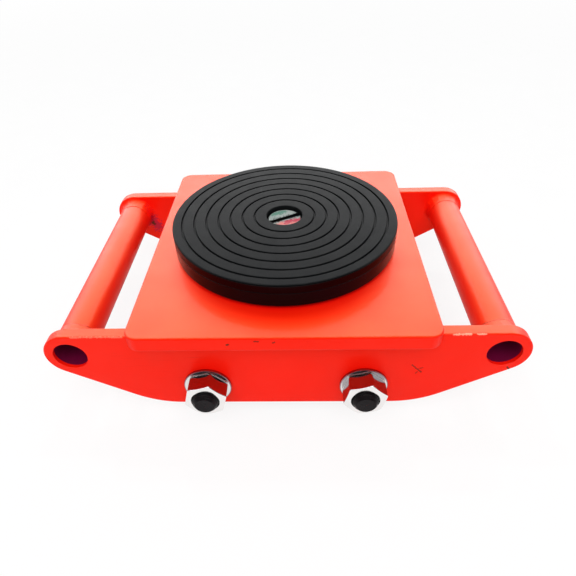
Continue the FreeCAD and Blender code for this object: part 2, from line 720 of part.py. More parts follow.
def make_pivot():
    """Makes the slotted shoulder screw that the cap turns on, with its washer and nut below the deck."""
    head, shoulder, thread = "Places.pivot_head_radius", "Sizes.pivot_shoulder / 2", "Sizes.pivot_thread / 2"
    screw = new_body("pivot_screw")
    add_turned(screw, "Z_Axis", [[
        ("0", "Places.pivot_end"),
        (thread, "Places.pivot_end"),
        (thread, "Places.thrust_floor"),
        (shoulder, "Places.thrust_floor"),
        (shoulder, "Places.pivot_head_bottom"),
        (head, "Places.pivot_head_bottom"),
        (head, "Places.pivot_head_top - Sizes.pivot_head_edge"),
        (f"{head} - Sizes.pivot_head_edge", "Places.pivot_head_top"),
        ("0", "Places.pivot_head_top"),
    ]])
    slot = screw.newObject("PartDesign::SubtractiveBox", "slot")
    slot.AttachmentSupport = [(datum(screw, "XY_Plane"), "")]
    slot.MapMode = "FlatFace"
    slot.setExpression("Length", f"2 * {head}")
    slot.setExpression("Width", "Sizes.pivot_slot_width")
    slot.setExpression("Height", "Sizes.pivot_slot_depth")
    slot.setExpression("AttachmentOffset.Rotation.Angle", "Sizes.pivot_slot_turn")
    along = "(-Places.pivot_head_radius)"
    aside = "(-Sizes.pivot_slot_width / 2)"
    cosine, sine = "cos(Sizes.pivot_slot_turn)", "sin(Sizes.pivot_slot_turn)"
    slot.setExpression("AttachmentOffset.Base.x", f"{along} * {cosine} - {aside} * {sine}")
    slot.setExpression("AttachmentOffset.Base.y", f"{along} * {sine} + {aside} * {cosine}")
    slot.setExpression("AttachmentOffset.Base.z", "Places.pivot_head_top - Sizes.pivot_slot_depth")
    finish_cut(screw, slot)
    washer = new_body("pivot_washer", z="Places.pivot_nut_top")
    rim, thickness = "Sizes.pivot_washer_diameter / 2", "Sizes.pivot_washer_thickness"
    add_turned(washer, "Z_Axis", [rectangle("Places.pivot_hole_radius", rim, "0", thickness)])
    nut = new_body("pivot_nut", z="Places.pivot_nut_top - Sizes.pivot_nut_height / 2")
    make_hex_nut(nut, "XY_Plane", "Z_Axis", "Sizes.pivot_nut_flats", "Sizes.pivot_nut_height",
                 "Places.pivot_nut_bore", "0")


def export_all():
    """Checks the whole document and writes one file for each sub-part."""
    for item in doc.Objects:
        if "Invalid" in item.State or "Error" in item.State:
            raise RuntimeError(f"{item.Label} failed: {item.State}")
    for body in subparts:
        if body.Shape.isNull() or not body.Shape.isValid():
            raise RuntimeError(f"{body.Label} has no valid shape")
    os.makedirs("parts", exist_ok=True)
    for body in subparts:
        body.Shape.exportStep(f"parts/{body.Label}.step")
        print(f"{body.Label}: {len(body.Shape.Solids)} solids, {body.Shape.Volume:.0f} mm3")


make_deck()
make_side_plate("side_plate_front", "-Places.plate_inside")
make_side_plate("side_plate_rear", "Places.plate_outside")
make_handles()
make_deck_welds()
make_axles()
make_axle_fasteners()
make_axle_stack()
for roller_name, (x_side, y_side) in ROLLERS.items():
    make_roller(roller_name, x_side, y_side)
make_thrust_bearing()
make_cap()
make_pivot()
doc.recompute()
export_all()
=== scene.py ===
"""Dresses the machine skate: an enamelled steel frame on four rollers, under a swivelling rubber-faced cap.

Sizes in the classes are millimetres and degrees in the part's own frame, unless they say otherwise. The floor
is z = 0, the handles stand at the two ends in X, and handles and axles lie along Y. Meshes are in metres.
"""

import json
import logging
import math
from abc import ABC, abstractmethod
from dataclasses import dataclass
from enum import Enum
from typing import Sequence

import bmesh
import bpy
import numpy as np
from mathutils import Matrix, Vector

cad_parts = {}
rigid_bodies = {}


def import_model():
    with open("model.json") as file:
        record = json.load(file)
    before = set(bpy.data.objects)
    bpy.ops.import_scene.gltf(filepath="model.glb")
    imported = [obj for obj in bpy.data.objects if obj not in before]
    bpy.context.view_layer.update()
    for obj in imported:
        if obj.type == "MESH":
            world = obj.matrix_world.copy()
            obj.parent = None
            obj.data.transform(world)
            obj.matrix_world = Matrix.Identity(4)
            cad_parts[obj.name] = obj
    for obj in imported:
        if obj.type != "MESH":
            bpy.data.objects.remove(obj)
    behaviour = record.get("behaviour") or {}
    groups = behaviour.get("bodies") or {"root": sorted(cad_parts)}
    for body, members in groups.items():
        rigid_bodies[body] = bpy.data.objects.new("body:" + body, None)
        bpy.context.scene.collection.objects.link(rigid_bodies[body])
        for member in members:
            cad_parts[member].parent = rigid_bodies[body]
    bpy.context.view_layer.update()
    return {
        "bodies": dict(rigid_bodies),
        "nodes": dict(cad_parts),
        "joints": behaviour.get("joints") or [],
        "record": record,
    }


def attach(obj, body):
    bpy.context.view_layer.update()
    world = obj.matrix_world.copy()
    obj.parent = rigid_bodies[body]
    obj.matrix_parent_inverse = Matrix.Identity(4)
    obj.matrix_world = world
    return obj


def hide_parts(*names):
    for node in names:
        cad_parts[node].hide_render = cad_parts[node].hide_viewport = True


LOG = logging.getLogger("skate")

# Metres in a millimetre.
MM = 0.001
# Points of a new piece that are closer than this, in metres, are one point.
MERGE_DISTANCE = 1e-7
# The point attribute that holds a turned piece's radius and place along its axis, in metres.
TURNING = "turning"
# Nearly all of a cloudy value lies between these.
CLOUD_LOW, CLOUD_HIGH = 0.3, 0.7

Array = np.ndarray
Colour = tuple[float, float, float, float]
Socket = bpy.types.NodeSocket
Place = tuple[float, float, float]
# A place on an outline, and the radius that rounds it.
Corner = tuple[float, float, float]

ORIGIN: Place = (0.0, 0.0, 0.0)
WHITE: Colour = (1.0, 1.0, 1.0, 1.0)
FULL_TURN = 2.0 * math.pi


class Axis(Enum):
    """The direction that a turned piece turns about."""

    Y = "Y"
    Z = "Z"


@dataclass
class Surface:
    """A mesh held as arrays.

    Attributes:
        points: Places of the points, in millimetres.
        faces: Four point numbers for each face.
        turning: Radius and place along the axis of each point of a turned piece, in millimetres.
    """

    points: Array
    faces: Array
    turning: Array

    @staticmethod
    def from_grid(
        points: Array, rows_close: bool, columns_close: bool, turning: Array | None = None
    ) -> "Surface":
        """Joins each point of a grid to the next one along its row and its column.

        Args:
            points: Places, as rows by columns by three.
            rows_close: Whether the last row joins the first.
            columns_close: Whether the last column joins the first.
            turning: Radius and place along the axis, as rows by columns by two, if the piece is turned.

        Returns:
            The surface through the grid.
        """
        rows, columns = points.shape[:2]
        turning = np.zeros((rows, columns, 2)) if turning is None else turning
        row = np.arange(rows if rows_close else rows - 1)
        column = np.arange(columns if columns_close else columns - 1)
        here, aside = np.meshgrid(row, column, indexing="ij")
        after, beside = (here + 1) % rows, (aside + 1) % columns
        corners = [
            here * columns + aside,
            after * columns + aside,
            after * columns + beside,
            here * columns + beside,
        ]
        faces = np.stack(corners, axis=-1).reshape(-1, 4)
        return Surface(points.reshape(-1, 3), faces, turning.reshape(-1, 2))

    @staticmethod
    def sheet(corner: Place, first: Place, second: Place) -> "Surface":
        """Makes a flat rectangle.

        Args:
            corner: One of its corners.
            first: One of the two edges that leave that corner.
            second: The other one.

        Returns:
            The rectangle.
        """
        step = np.arange(2.0)
        edges = step[:, None, None] * np.array(first) + step[None, :, None] * np.array(second)
        return Surface.from_grid(np.array(corner) + edges, False, False)

    @staticmethod
    def together(surfaces: Sequence["Surface"]) -> "Surface":
        """Puts several surfaces into one.

        Args:
            surfaces: The surfaces.

        Returns:
            A loose set of them.
        """
        starts = np.cumsum([0] + [len(surface.points) for surface in surfaces[:-1]])
        faces = [surface.faces + start for surface, start in zip(surfaces, starts)]
        points = np.concatenate([surface.points for surface in surfaces])
        turning = np.concatenate([surface.turning for surface in surfaces])
        return Surface(points, np.concatenate(faces), turning)

    def moved(self, x: float = 0.0, y: float = 0.0, z: float = 0.0) -> "Surface":
        """Gives a copy at another place."""
        return Surface(self.points + np.array([x, y, z]), self.faces, self.turning)

    def front_and_rear(self, x_places: Sequence[float], z: float = 0.0) -> "Surface":
        """Gives copies of a front piece, and their mirror images across the plane y = 0.

        Args:
            x_places: Where the copies stand.
            z: How far up they stand.

        Returns:
            All the copies in one surface.
        """
        front = Surface.together([self.moved(x=x, z=z) for x in x_places])
        rear = Surface(front.points * np.array([1.0, -1.0, 1.0]), front.faces, front.turning)
        return Surface.together([front, rear])

    def as_piece(self, name: str, material: bpy.types.Material) -> bpy.types.Object:
        """Makes a smooth object, with seams and poles merged and faces turned outwards.

        Args:
            name: The piece's name.
            material: The finish of the whole piece.

        Returns:
            The object, at the origin.
        """
        mesh = bpy.data.meshes.new(name)
        mesh.from_pydata((self.points * MM).tolist(), [], self.faces.tolist())
        turning = mesh.attributes.new(TURNING, "FLOAT_VECTOR", "POINT")
        padded = np.column_stack([self.turning * MM, np.zeros(len(self.turning))])
        turning.data.foreach_set("vector", padded.astype(np.float32).ravel())
        shell = bmesh.new()
        shell.from_mesh(mesh)
        bmesh.ops.remove_doubles(shell, verts=shell.verts, dist=MERGE_DISTANCE)
        bmesh.ops.recalc_face_normals(shell, faces=shell.faces)
        shell.to_mesh(mesh)
        shell.free()
        mesh.shade_smooth()
        mesh.materials.append(material)
        piece = bpy.data.objects.new(name, mesh)
        bpy.context.scene.collection.objects.link(piece)
        return piece


def around(radius: Array, along: Array, angle: Array, axis: Axis, rows_close: bool) -> Surface:
    """Wraps a grid round an axis: each point stands at its radius and angle, and at its place along the axis.

    Args:
        radius: Radii, as rows by columns.
        along: Places along the axis, as rows by columns.
        angle: Angles of the columns, in radians.
        axis: The axis, through the origin.
        rows_close: Whether the outline closes on itself, so that the piece is a ring.

    Returns:
        The wrapped surface.
    """
    across, up = radius * np.cos(angle), radius * np.sin(angle)
    places = (across, along, up) if axis is Axis.Y else (across, up, along)
    turning = np.stack([radius, along], axis=-1)
    return Surface.from_grid(np.stack(places, axis=-1), rows_close, True, turning)


def turned(outline: Array, segments: int, axis: Axis) -> Surface:
    """Turns a closed outline of radius and place along an axis once round that axis.

    Args:
        outline: Radius and place along the axis of each outline point.
        segments: How many steps make the full turn.
        axis: The axis, through the origin.

    Returns:
        The ring-shaped surface.
    """
    angle = np.linspace(0.0, FULL_TURN, segments, endpoint=False)
    shape = (len(outline), segments)
    radius = np.broadcast_to(outline[:, :1], shape)
    along = np.broadcast_to(outline[:, 1:], shape)
    return around(radius, along, angle, axis, True)


def rounded_outline(corners: Sequence[Corner], steps: int = 4) -> Array:
    """Rounds the corners of a closed outline.

    Each corner becomes an arc that touches both of its sides. One more point on each side, close to the
    arc, keeps the flat beyond it flat when it is shaded.

    Args:
        corners: The corners in their order.
        steps: How many chords make an arc.

    Returns:
        The outline's points, as many by two.
    """
    table = np.array(corners, dtype=float)
    points, radii = table[:, :2], table[:, 2:]
    back = np.roll(points, 1, axis=0) - points
    ahead = np.roll(points, -1, axis=0) - points
    back_length = np.linalg.norm(back, axis=1, keepdims=True)
    ahead_length = np.linalg.norm(ahead, axis=1, keepdims=True)
    back, ahead = back / back_length, ahead / ahead_length
    half = 0.5 * np.arccos(np.clip(np.sum(back * ahead, axis=1, keepdims=True), -1.0, 1.0))
    reach = radii / np.tan(half)
    middle = back + ahead
    middle = middle / np.linalg.norm(middle, axis=1, keepdims=True)
    centre = points + middle * radii / np.sin(half)
    first, last = points + back * reach - centre, points + ahead * reach - centre
    sweep = (math.pi - 2.0 * half)[:, :, None]
    share = np.linspace(0.0, 1.0, steps + 1)[None, :, None]
    arc = np.sin((1.0 - share) * sweep) * first[:, None] + np.sin(share * sweep) * last[:, None]
    arc = centre[:, None] + arc / np.sin(sweep)
    guard, most_of_side = 0.25, 0.2
    before = points + back * (reach + np.minimum(guard, most_of_side * back_length))
    after = points + ahead * (reach + np.minimum(guard, most_of_side * ahead_length))
    return np.concatenate([before[:, None], arc, after[:, None]], axis=1).reshape(-1, 2)


class Bench:
    """Adds nodes to one node tree and joins them."""

    def __init__(self, tree: bpy.types.NodeTree) -> None:
        """Starts on a tree with no nodes.

        Args:
            tree: The tree to fill.
        """
        self.tree = tree
        self.tree.nodes.clear()

    def feed(self, node: bpy.types.Node, inputs: dict) -> None:
        """Sets inputs of a node.

        Args:
            node: The node.
            inputs: A value, or another node's output, for each named or numbered input.
        """
        for name, value in inputs.items():
            if isinstance(value, Socket):
                self.tree.links.new(value, node.inputs[name])
            else:
                node.inputs[name].default_value = value

    def add(self, kind: str, inputs: dict | None = None, **settings: object) -> bpy.types.Node:
        """Adds a node.

        Args:
            kind: Blender's name for the node's type.
            inputs: A value, or another node's output, for each named or numbered input.
            **settings: Properties of the node itself.

        Returns:
            The node.
        """
        node = self.tree.nodes.new(kind)
        for name, value in settings.items():
            setattr(node, name, value)
        self.feed(node, inputs or {})
        return node

    def math(self, operation: str, first: object, second: object = 0.0) -> Socket:
        """Gives the result of one sum on two values or outputs."""
        return self.add("ShaderNodeMath", {0: first, 1: second}, operation=operation).outputs[0]

    def vector_math(self, operation: str, first: object, second: object) -> bpy.types.Node:
        """Adds one sum on two vectors."""
        return self.add("ShaderNodeVectorMath", {0: first, 1: second}, operation=operation)

    def split(self, vector: Socket) -> bpy.types.bpy_prop_collection:
        """Gives the X, Y and Z of a vector."""
        return self.add("ShaderNodeSeparateXYZ", {"Vector": vector}).outputs

    def spread(self, value: Socket, low: float, high: float, to_low: float, to_high: float) -> Socket:
        """Carries a value from one range to another, eased, and holds it at the ends."""
        inputs = {"Value": value, "From Min": low, "From Max": high, "To Min": to_low, "To Max": to_high}
        return self.add("ShaderNodeMapRange", inputs, interpolation_type="SMOOTHSTEP").outputs["Result"]

    def under(self, length: Socket, limit: float, soft: float) -> Socket:
        """Gives 1 where a length is under a limit and 0 over it, with a soft change, in millimetres."""
        return self.spread(length, (limit - soft) * MM, (limit + soft) * MM, 1.0, 0.0)

    def over(self, length: Socket, limit: float, soft: float) -> Socket:
        """Gives 0 where a length is under a limit and 1 over it, with a soft change, in millimetres."""
        return self.spread(length, (limit - soft) * MM, (limit + soft) * MM, 0.0, 1.0)

    def noise(self, vector: Socket, scale: object, detail: float = 2.0, dimensions: str = "3D") -> Socket:
        """Gives a cloudy value between 0 and 1."""
        inputs = {"Vector": vector, "Scale": scale, "Detail": detail}
        return self.add("ShaderNodeTexNoise", inputs, noise_dimensions=dimensions).outputs["Fac"]

    def mix(self, share: object, first: object, second: object) -> Socket:
        """Mixes two colours."""
        return self.add("ShaderNodeMix", {0: share, 6: first, 7: second}, data_type="RGBA").outputs[2]

    def blend(self, share: Socket, first: Socket, second: Socket) -> Socket:
        """Blends two shaders."""
        return self.add("ShaderNodeMixShader", {0: share, 1: first, 2: second}).outputs["Shader"]

    def effect(self, group: bpy.types.NodeTree, inputs: dict) -> bpy.types.bpy_prop_collection:
        """Places a shared effect with its own values, and gives its outputs."""
        return self.add("ShaderNodeGroup", inputs, node_tree=group).outputs


class Effects:
    """The effects that several finishes share, each built once as a node group."""

    # How finely a skin's specks, gloss and tone change, next to its ripple.
    SPECKS, GLOSS, TONE = 2.7, 0.14, 0.045
    # How many patches of scuffs, and bends in the edge of a straight mark, there are in a metre.
    PATCHES, BENDS = 22.0, 900.0
    # How two sets of scuffs are turned, in radians, and drawn out.
    SCUFF_SETS = (((0.3, 0.2, 0.5), (1.0, 30.0, 30.0)), ((0.1, 0.4, -0.9), (24.0, 1.0, 24.0)))

    def __init__(self) -> None:
        """Builds all the groups."""
        self.skin = self._skin()
        self.scuffs = self._scuffs()
        self.tool_marks = self._tool_marks()
        self.straight_mark = self._straight_mark()

    @staticmethod
    def _start(name: str, inputs: dict[str, str], outputs: Sequence[str]) -> tuple[Bench, bpy.types.Node]:
        """Starts a group.

        Args:
            name: The group's name.
            inputs: Each input's name and its kind, Float or Vector.
            outputs: The names of the outputs, which are values.

        Returns:
            A bench on the group, and the node that brings its inputs.
        """
        tree = bpy.data.node_groups.new(name, "ShaderNodeTree")
        for label, kind in inputs.items():
            tree.interface.new_socket(label, in_out="INPUT", socket_type=f"NodeSocket{kind}")
        for label in outputs:
            tree.interface.new_socket(label, in_out="OUTPUT", socket_type="NodeSocketFloat")
        bench = Bench(tree)
        return bench, bench.add("NodeGroupInput")

    @classmethod
    def _skin(cls) -> bpy.types.NodeTree:
        """Makes a sprayed or moulded skin: its ripple and specks, and slow changes of tone and gloss.

        Returns:
            The group.
        """
        inputs = {"Vector": "Vector", "Fineness": "Float"}
        bench, given = cls._start("skin", inputs, ["Height", "Tone", "Gloss"])
        place, fineness = given.outputs["Vector"], given.outputs["Fineness"]
        ripple = bench.noise(place, fineness)
        grains = bench.noise(place, bench.math("MULTIPLY", fineness, cls.SPECKS), 0.0)
        specks = bench.spread(grains, 0.74, 0.82, 0.0, 0.8)
        tone = bench.noise(place, bench.math("MULTIPLY", fineness, cls.TONE), 3.0)
        gloss = bench.noise(place, bench.math("MULTIPLY", fineness, cls.GLOSS), 4.0)
        outputs = {"Height": bench.math("ADD", ripple, specks), "Tone": tone, "Gloss": gloss}
        bench.add("NodeGroupOutput", outputs)
        return bench.tree

    @classmethod
    def _scuffs(cls) -> bpy.types.NodeTree:
        """Makes hairline scuffs: two sets of drawn-out specks in patches.

        Returns:
            The group.
        """
        bench, given = cls._start("hairline_scuffs", {"Vector": "Vector", "Density": "Float"}, ["Mask"])
        place, density = given.outputs["Vector"], given.outputs["Density"]
        patches = bench.spread(bench.noise(place, cls.PATCHES), 0.48, 0.62, 0.0, 1.0)
        lines = []
        for turn, stretch in cls.SCUFF_SETS:
            drawn = bench.add("ShaderNodeMapping", {"Vector": place, "Rotation": turn, "Scale": stretch})
            streak = bench.noise(drawn.outputs["Vector"], density, 1.0)
            lines.append(bench.spread(streak, 0.69, 0.75, 0.0, 1.0))
        both = bench.math("MAXIMUM", *lines)
        bench.add("NodeGroupOutput", {"Mask": bench.math("MULTIPLY", both, patches)})
        return bench.tree

    @classmethod
    def _tool_marks(cls) -> bpy.types.NodeTree:
        """Makes the fine rings that a lathe leaves: a streak for each radius and place along the axis.

        Returns:
            The group.
        """
        bench, given = cls._start("tool_marks", {"Turning": "Vector", "Fineness": "Float"}, ["Height"])
        lines = bench.noise(given.outputs["Turning"], given.outputs["Fineness"], 3.0, "2D")
        bench.add("NodeGroupOutput", {"Height": lines})
        return bench.tree

    @classmethod
    def _straight_mark(cls) -> bpy.types.NodeTree:
        """Makes one straight mark: all points within about half its width of the straight line between its
        ends.

        Returns:
            The group.
        """
        inputs = {"Vector": "Vector", "Start": "Vector", "Run": "Vector", "Width": "Float"}
        bench, given = cls._start("straight_mark", inputs, ["Mask"])
        place, run, width = (given.outputs[label] for label in ("Vector", "Run", "Width"))
        wander = bench.noise(place, cls.BENDS)
        offset = bench.vector_math("SUBTRACT", place, given.outputs["Start"]).outputs["Vector"]
        along = bench.vector_math("DOT_PRODUCT", offset, run).outputs["Value"]
        length = bench.vector_math("DOT_PRODUCT", run, run).outputs["Value"]
        share = bench.math("DIVIDE", along, length)
        share = bench.math("MINIMUM", bench.math("MAXIMUM", share, 0.0), 1.0)
        foot = bench.add("ShaderNodeVectorMath", {0: run, "Scale": share}, operation="SCALE")
        gap = bench.vector_math("DISTANCE", offset, foot.outputs["Vector"]).outputs["Value"]
        ragged = bench.math("MULTIPLY", width, bench.spread(wander, CLOUD_LOW, CLOUD_HIGH, 0.35, 1.5))
        edge = bench.math("DIVIDE", gap, ragged)
        bench.add("NodeGroupOutput", {"Mask": bench.spread(edge, 0.35, 0.75, 1.0, 0.0)})
        return bench.tree


def start_material(name: str) -> tuple[bpy.types.Material, Bench]:
    """Starts a material with no nodes.

    Args:
        name: The material's name.

    Returns:
        The material, and a bench on its nodes.
    """
    material = bpy.data.materials.new(name)
    material.use_nodes = True
    return material, Bench(material.node_tree)


@dataclass(frozen=True)
class Canvas:
    """What a finish is worked out on.

    Attributes:
        bench: The bench of the material.
        effects: The shared effects.
        place: Object coordinates.
    """

    bench: Bench
    effects: Effects
    place: Socket

    def turning(self) -> Socket:
        """Gives the radius and the place along the axis of a turned piece."""
        return self.bench.add("ShaderNodeAttribute", attribute_name=TURNING).outputs["Vector"]


class Mark(ABC):
    """A place where a finish shows another colour."""

    colour: Colour

    @abstractmethod
    def mask(self, canvas: Canvas) -> Socket:
        """Gives 1 on the mark and 0 elsewhere.

        Args:
            canvas: What the finish is worked out on.

        Returns:
            The mask.
        """


@dataclass(frozen=True)
class StraightMark(Mark):
    """A straight mark from one place to another, in millimetres, such as a scratch, a darker patch and a
    painted edge highlight.

    Attributes:
        start: Where it starts.
        end: Where it ends.
        width: Its usual width.
        colour: What it shows.
    """

    start: Place
    end: Place
    width: float
    colour: Colour

    def mask(self, canvas: Canvas) -> Socket:
        """Gives 1 near the straight line between the ends.

        Args:
            canvas: What the finish is worked out on.

        Returns:
            The mask.
        """
        start, end = Vector(self.start) * MM, Vector(self.end) * MM
        values = {"Vector": canvas.place, "Start": start, "Run": end - start, "Width": self.width * MM}
        return canvas.bench.effect(canvas.effects.straight_mark, values)["Mask"]


@dataclass(frozen=True)
class ShadedBore(Mark):
    """The inside of the handle tubes, bare of paint and darkened with painted shade, in millimetres.

    Attributes:
        x: How far the handles' axes stand from the middle.
        z: The height of those axes.
        radius: How far from an axis the dark surface reaches.
        depth: How far from the middle plane it reaches.
        colour: The bare surface with its painted shade.
    """

    x: float
    z: float
    radius: float
    depth: float
    colour: Colour

    def mask(self, canvas: Canvas) -> Socket:
        """Gives 1 near a handle's axis and away from its ends.

        Args:
            canvas: What the finish is worked out on.

        Returns:
            The mask.
        """
        bench, parts = canvas.bench, canvas.bench.split(canvas.place)
        aside = bench.math("SUBTRACT", bench.math("ABSOLUTE", parts["X"]), self.x * MM)
        above = bench.math("SUBTRACT", parts["Z"], self.z * MM)
        square = bench.math("ADD", bench.math("MULTIPLY", aside, aside), bench.math("MULTIPLY", above, above))
        inside = bench.under(bench.math("SQRT", square), self.radius, soft=0.2)
        deep = bench.under(bench.math("ABSOLUTE", parts["Y"]), self.depth, soft=0.3)
        return bench.math("MULTIPLY", inside, deep)


@dataclass(frozen=True)
class GrimeAndShade(Mark):
    """Dirt and painted shade in the slot and round the rim of an upright screw, in millimetres.

    Attributes:
        below: The height under which the slot is darkened.
        beyond: How far from the Z axis the plain metal reaches.
        colour: The dirt and painted shade.
    """

    below: float
    beyond: float
    colour: Colour

    def mask(self, canvas: Canvas) -> Socket:
        """Gives 1 in the slot and round the rim.

        Args:
            canvas: What the finish is worked out on.

        Returns:
            The mask.
        """
        bench = canvas.bench
        slot = bench.under(bench.split(canvas.place)["Z"], self.below, soft=0.05)
        across = bench.vector_math("MULTIPLY", canvas.place, (1.0, 1.0, 0.0)).outputs["Vector"]
        distance = bench.vector_math("DISTANCE", across, ORIGIN).outputs["Value"]
        return bench.math("MAXIMUM", slot, bench.over(distance, self.beyond, soft=0.3))


@dataclass(frozen=True)
class Flank(Mark):
    """The outer side of a turned piece, which differs from its faces, in millimetres.

    Attributes:
        beyond: The radius where the side begins.
        colour: The side.
        within: How far along the axis it reaches there, either way.
        slope: How much less far it reaches for each millimetre of radius beyond that.
    """

    beyond: float
    colour: Colour
    within: float = 200.0
    slope: float = 0.0

    def mask(self, canvas: Canvas) -> Socket:
        """Gives 1 on the side and 0 on the faces and chamfers.

        Args:
            canvas: What the finish is worked out on.

        Returns:
            The mask.
        """
        bench, parts = canvas.bench, canvas.bench.split(canvas.turning())
        past = bench.math("SUBTRACT", parts["X"], self.beyond * MM)
        lost = bench.math("MULTIPLY", past, self.slope)
        reach = bench.math("ADD", bench.math("ABSOLUTE", parts["Y"]), lost)
        outside = bench.over(parts["X"], self.beyond, soft=0.1)
        return bench.math("MULTIPLY", outside, bench.under(reach, self.within, soft=0.1))


@dataclass(frozen=True)
class Texture:
    """How one kind of surface varies from place to place.

    Attributes:
        fineness: How many ripples or grains its skin has in a metre.
        scuffs: How many scuffs lie side by side in a metre.
        rings: How many lathe or mould rings it has in a metre.
        clear: The level of the cloudy tone under which only the main colour shows.
        scuff_tint: How much of the worn colour a scuff shows, from 0 to 1.
        scuff_blur: How much roughness a scuff adds.
        smoothest: The least roughness, as a share of the finish's own.
        roughest: The most roughness, as a share of the finish's own.
        relief: How strongly the skin and the rings show, from 0 to 1.
    """

    fineness: float
    scuffs: float
    rings: float
    clear: float
    scuff_tint: float
    scuff_blur: float
    smoothest: float
    roughest: float
    relief: float


class Kind(Enum):
    """The kinds of surface."""

    PAINT = Texture(
        fineness=380.0, scuffs=60.0, rings=0.0, clear=0.35, scuff_tint=0.2, scuff_blur=0.08,
        smoothest=0.93, roughest=1.08, relief=0.5,
    )
    MOULDED = Texture(
        fineness=1400.0, scuffs=75.0, rings=900.0, clear=0.3, scuff_tint=0.35, scuff_blur=0.0,
        smoothest=0.85, roughest=1.15, relief=0.6,
    )
    METAL = Texture(
        fineness=2200.0, scuffs=120.0, rings=1500.0, clear=0.3, scuff_tint=0.4, scuff_blur=0.0,
        smoothest=0.75, roughest=1.3, relief=0.5,
    )


@dataclass(frozen=True)
class Finish:
    """A finish with cloudy tone and gloss, scuffs, fine relief, and marks at known places.

    Attributes:
        name: The material's name.
        slot: The record's material slot, which is not used.
        kind: The kind of surface.
        colour: The main colour.
        cloud: The colour of its cloudy patches.
        worn: The colour where it is scuffed.
        roughness: How far its gloss is blurred.
        gloss: How strong its gloss is, where 0.5 is usual.
        glint: The colour of its gloss.
        metallic: How far it is metal, from 0 to 1.
        skin: How deep its ripple or grain is, in millimetres, or 0 for none.
        rings: How deep its lathe or mould rings are, in millimetres, or 0 for none.
        lacquer: How much clear lacquer lies on top, from 0 to 1.
        mark_lacquer: How much clear lacquer lies on its only mark, from 0 to 1.
        lacquer_roughness: How far the lacquer's gloss is blurred.
        marks: Marks at known places.
    """

    name: str
    slot: str
    kind: Kind
    colour: Colour
    cloud: Colour
    worn: Colour
    roughness: float
    gloss: float = 0.5
    glint: Colour = WHITE
    metallic: float = 0.0
    skin: float = 0.0
    rings: float = 0.0
    lacquer: float = 0.0
    mark_lacquer: float = 0.0
    lacquer_roughness: float = 0.2
    marks: tuple[Mark, ...] = ()

    def material(self, effects: Effects) -> bpy.types.Material:
        """Makes the material.

        Args:
            effects: The shared effects.

        Returns:
            The material.
        """
        material, bench = start_material(self.name)
        canvas = Canvas(bench, effects, bench.add("ShaderNodeTexCoord").outputs["Object"])
        texture = self.kind.value
        skin = bench.effect(effects.skin, {"Vector": canvas.place, "Fineness": texture.fineness})
        scuffs = bench.effect(effects.scuffs, {"Vector": canvas.place, "Density": texture.scuffs})["Mask"]
        cloud = bench.spread(skin["Tone"], texture.clear, CLOUD_HIGH, 0.0, 1.0)
        colour = bench.mix(cloud, self.colour, self.cloud)
        colour = bench.mix(bench.math("MULTIPLY", scuffs, texture.scuff_tint), colour, self.worn)
        lacquer = self.lacquer
        for mark in self.marks:
            mask = mark.mask(canvas)
            colour = bench.mix(mask, colour, mark.colour)
            if self.mark_lacquer:
                lacquer = bench.math("MULTIPLY", mask, self.mark_lacquer)
        low, high = self.roughness * texture.smoothest, self.roughness * texture.roughest
        rough = bench.spread(skin["Gloss"], CLOUD_LOW, CLOUD_HIGH, low, high)
        if texture.scuff_blur:
            rough = bench.math("ADD", rough, bench.math("MULTIPLY", scuffs, texture.scuff_blur))
        shader = bench.add("ShaderNodeBsdfPrincipled", {
            "Base Color": colour,
            "Roughness": rough,
            "Normal": self.normal(canvas, skin["Height"]),
            "Metallic": self.metallic,
            "Specular IOR Level": self.gloss,
            "Specular Tint": self.glint,
            "Coat Weight": lacquer,
            "Coat Roughness": self.lacquer_roughness,
        })
        bench.add("ShaderNodeOutputMaterial", {"Surface": shader.outputs["BSDF"]})
        return material

    def normal(self, canvas: Canvas, height: Socket) -> Socket:
        """Gives the surface's direction with the skin's relief and the rings' relief on it.

        Args:
            canvas: What the finish is worked out on.
            height: The skin's relief.

        Returns:
            The direction.
        """
        bench, texture = canvas.bench, self.kind.value
        layers = [(self.skin, height)] if self.skin else []
        if self.rings:
            values = {"Turning": canvas.turning(), "Fineness": texture.rings}
            layers.append((self.rings, bench.effect(canvas.effects.tool_marks, values)["Height"]))
        relief = {"Strength": texture.relief}
        for depth, layer in layers:
            relief |= {"Distance": depth * MM, "Height": layer}
            relief["Normal"] = bench.add("ShaderNodeBump", relief).outputs["Normal"]
        return relief["Normal"]


# What shows on the red paint in a deep scratch and in a darker patch, and the painted highlights of a bright
# and a faint glint along an edge.
SCORED = (0.1035, 0.004, 0.004, 1.0)
DARKER_PATCH = (0.5215, 0.002, 0.038, 1.0)
PAINTED_HIGHLIGHT = (0.949, 0.314, 0.228, 1.0)
FAINT_PAINTED_HIGHLIGHT = (0.949, 0.124, 0.086, 1.0)
# Dirt pressed into the pivot screw, and painted shade in its slot and round its rim.
DIRT_AND_SHADE = (0.004, 0.004, 0.004, 1.0)
# How deep the marks of a lathe are on plain metal, in millimetres.
LATHED = 0.006


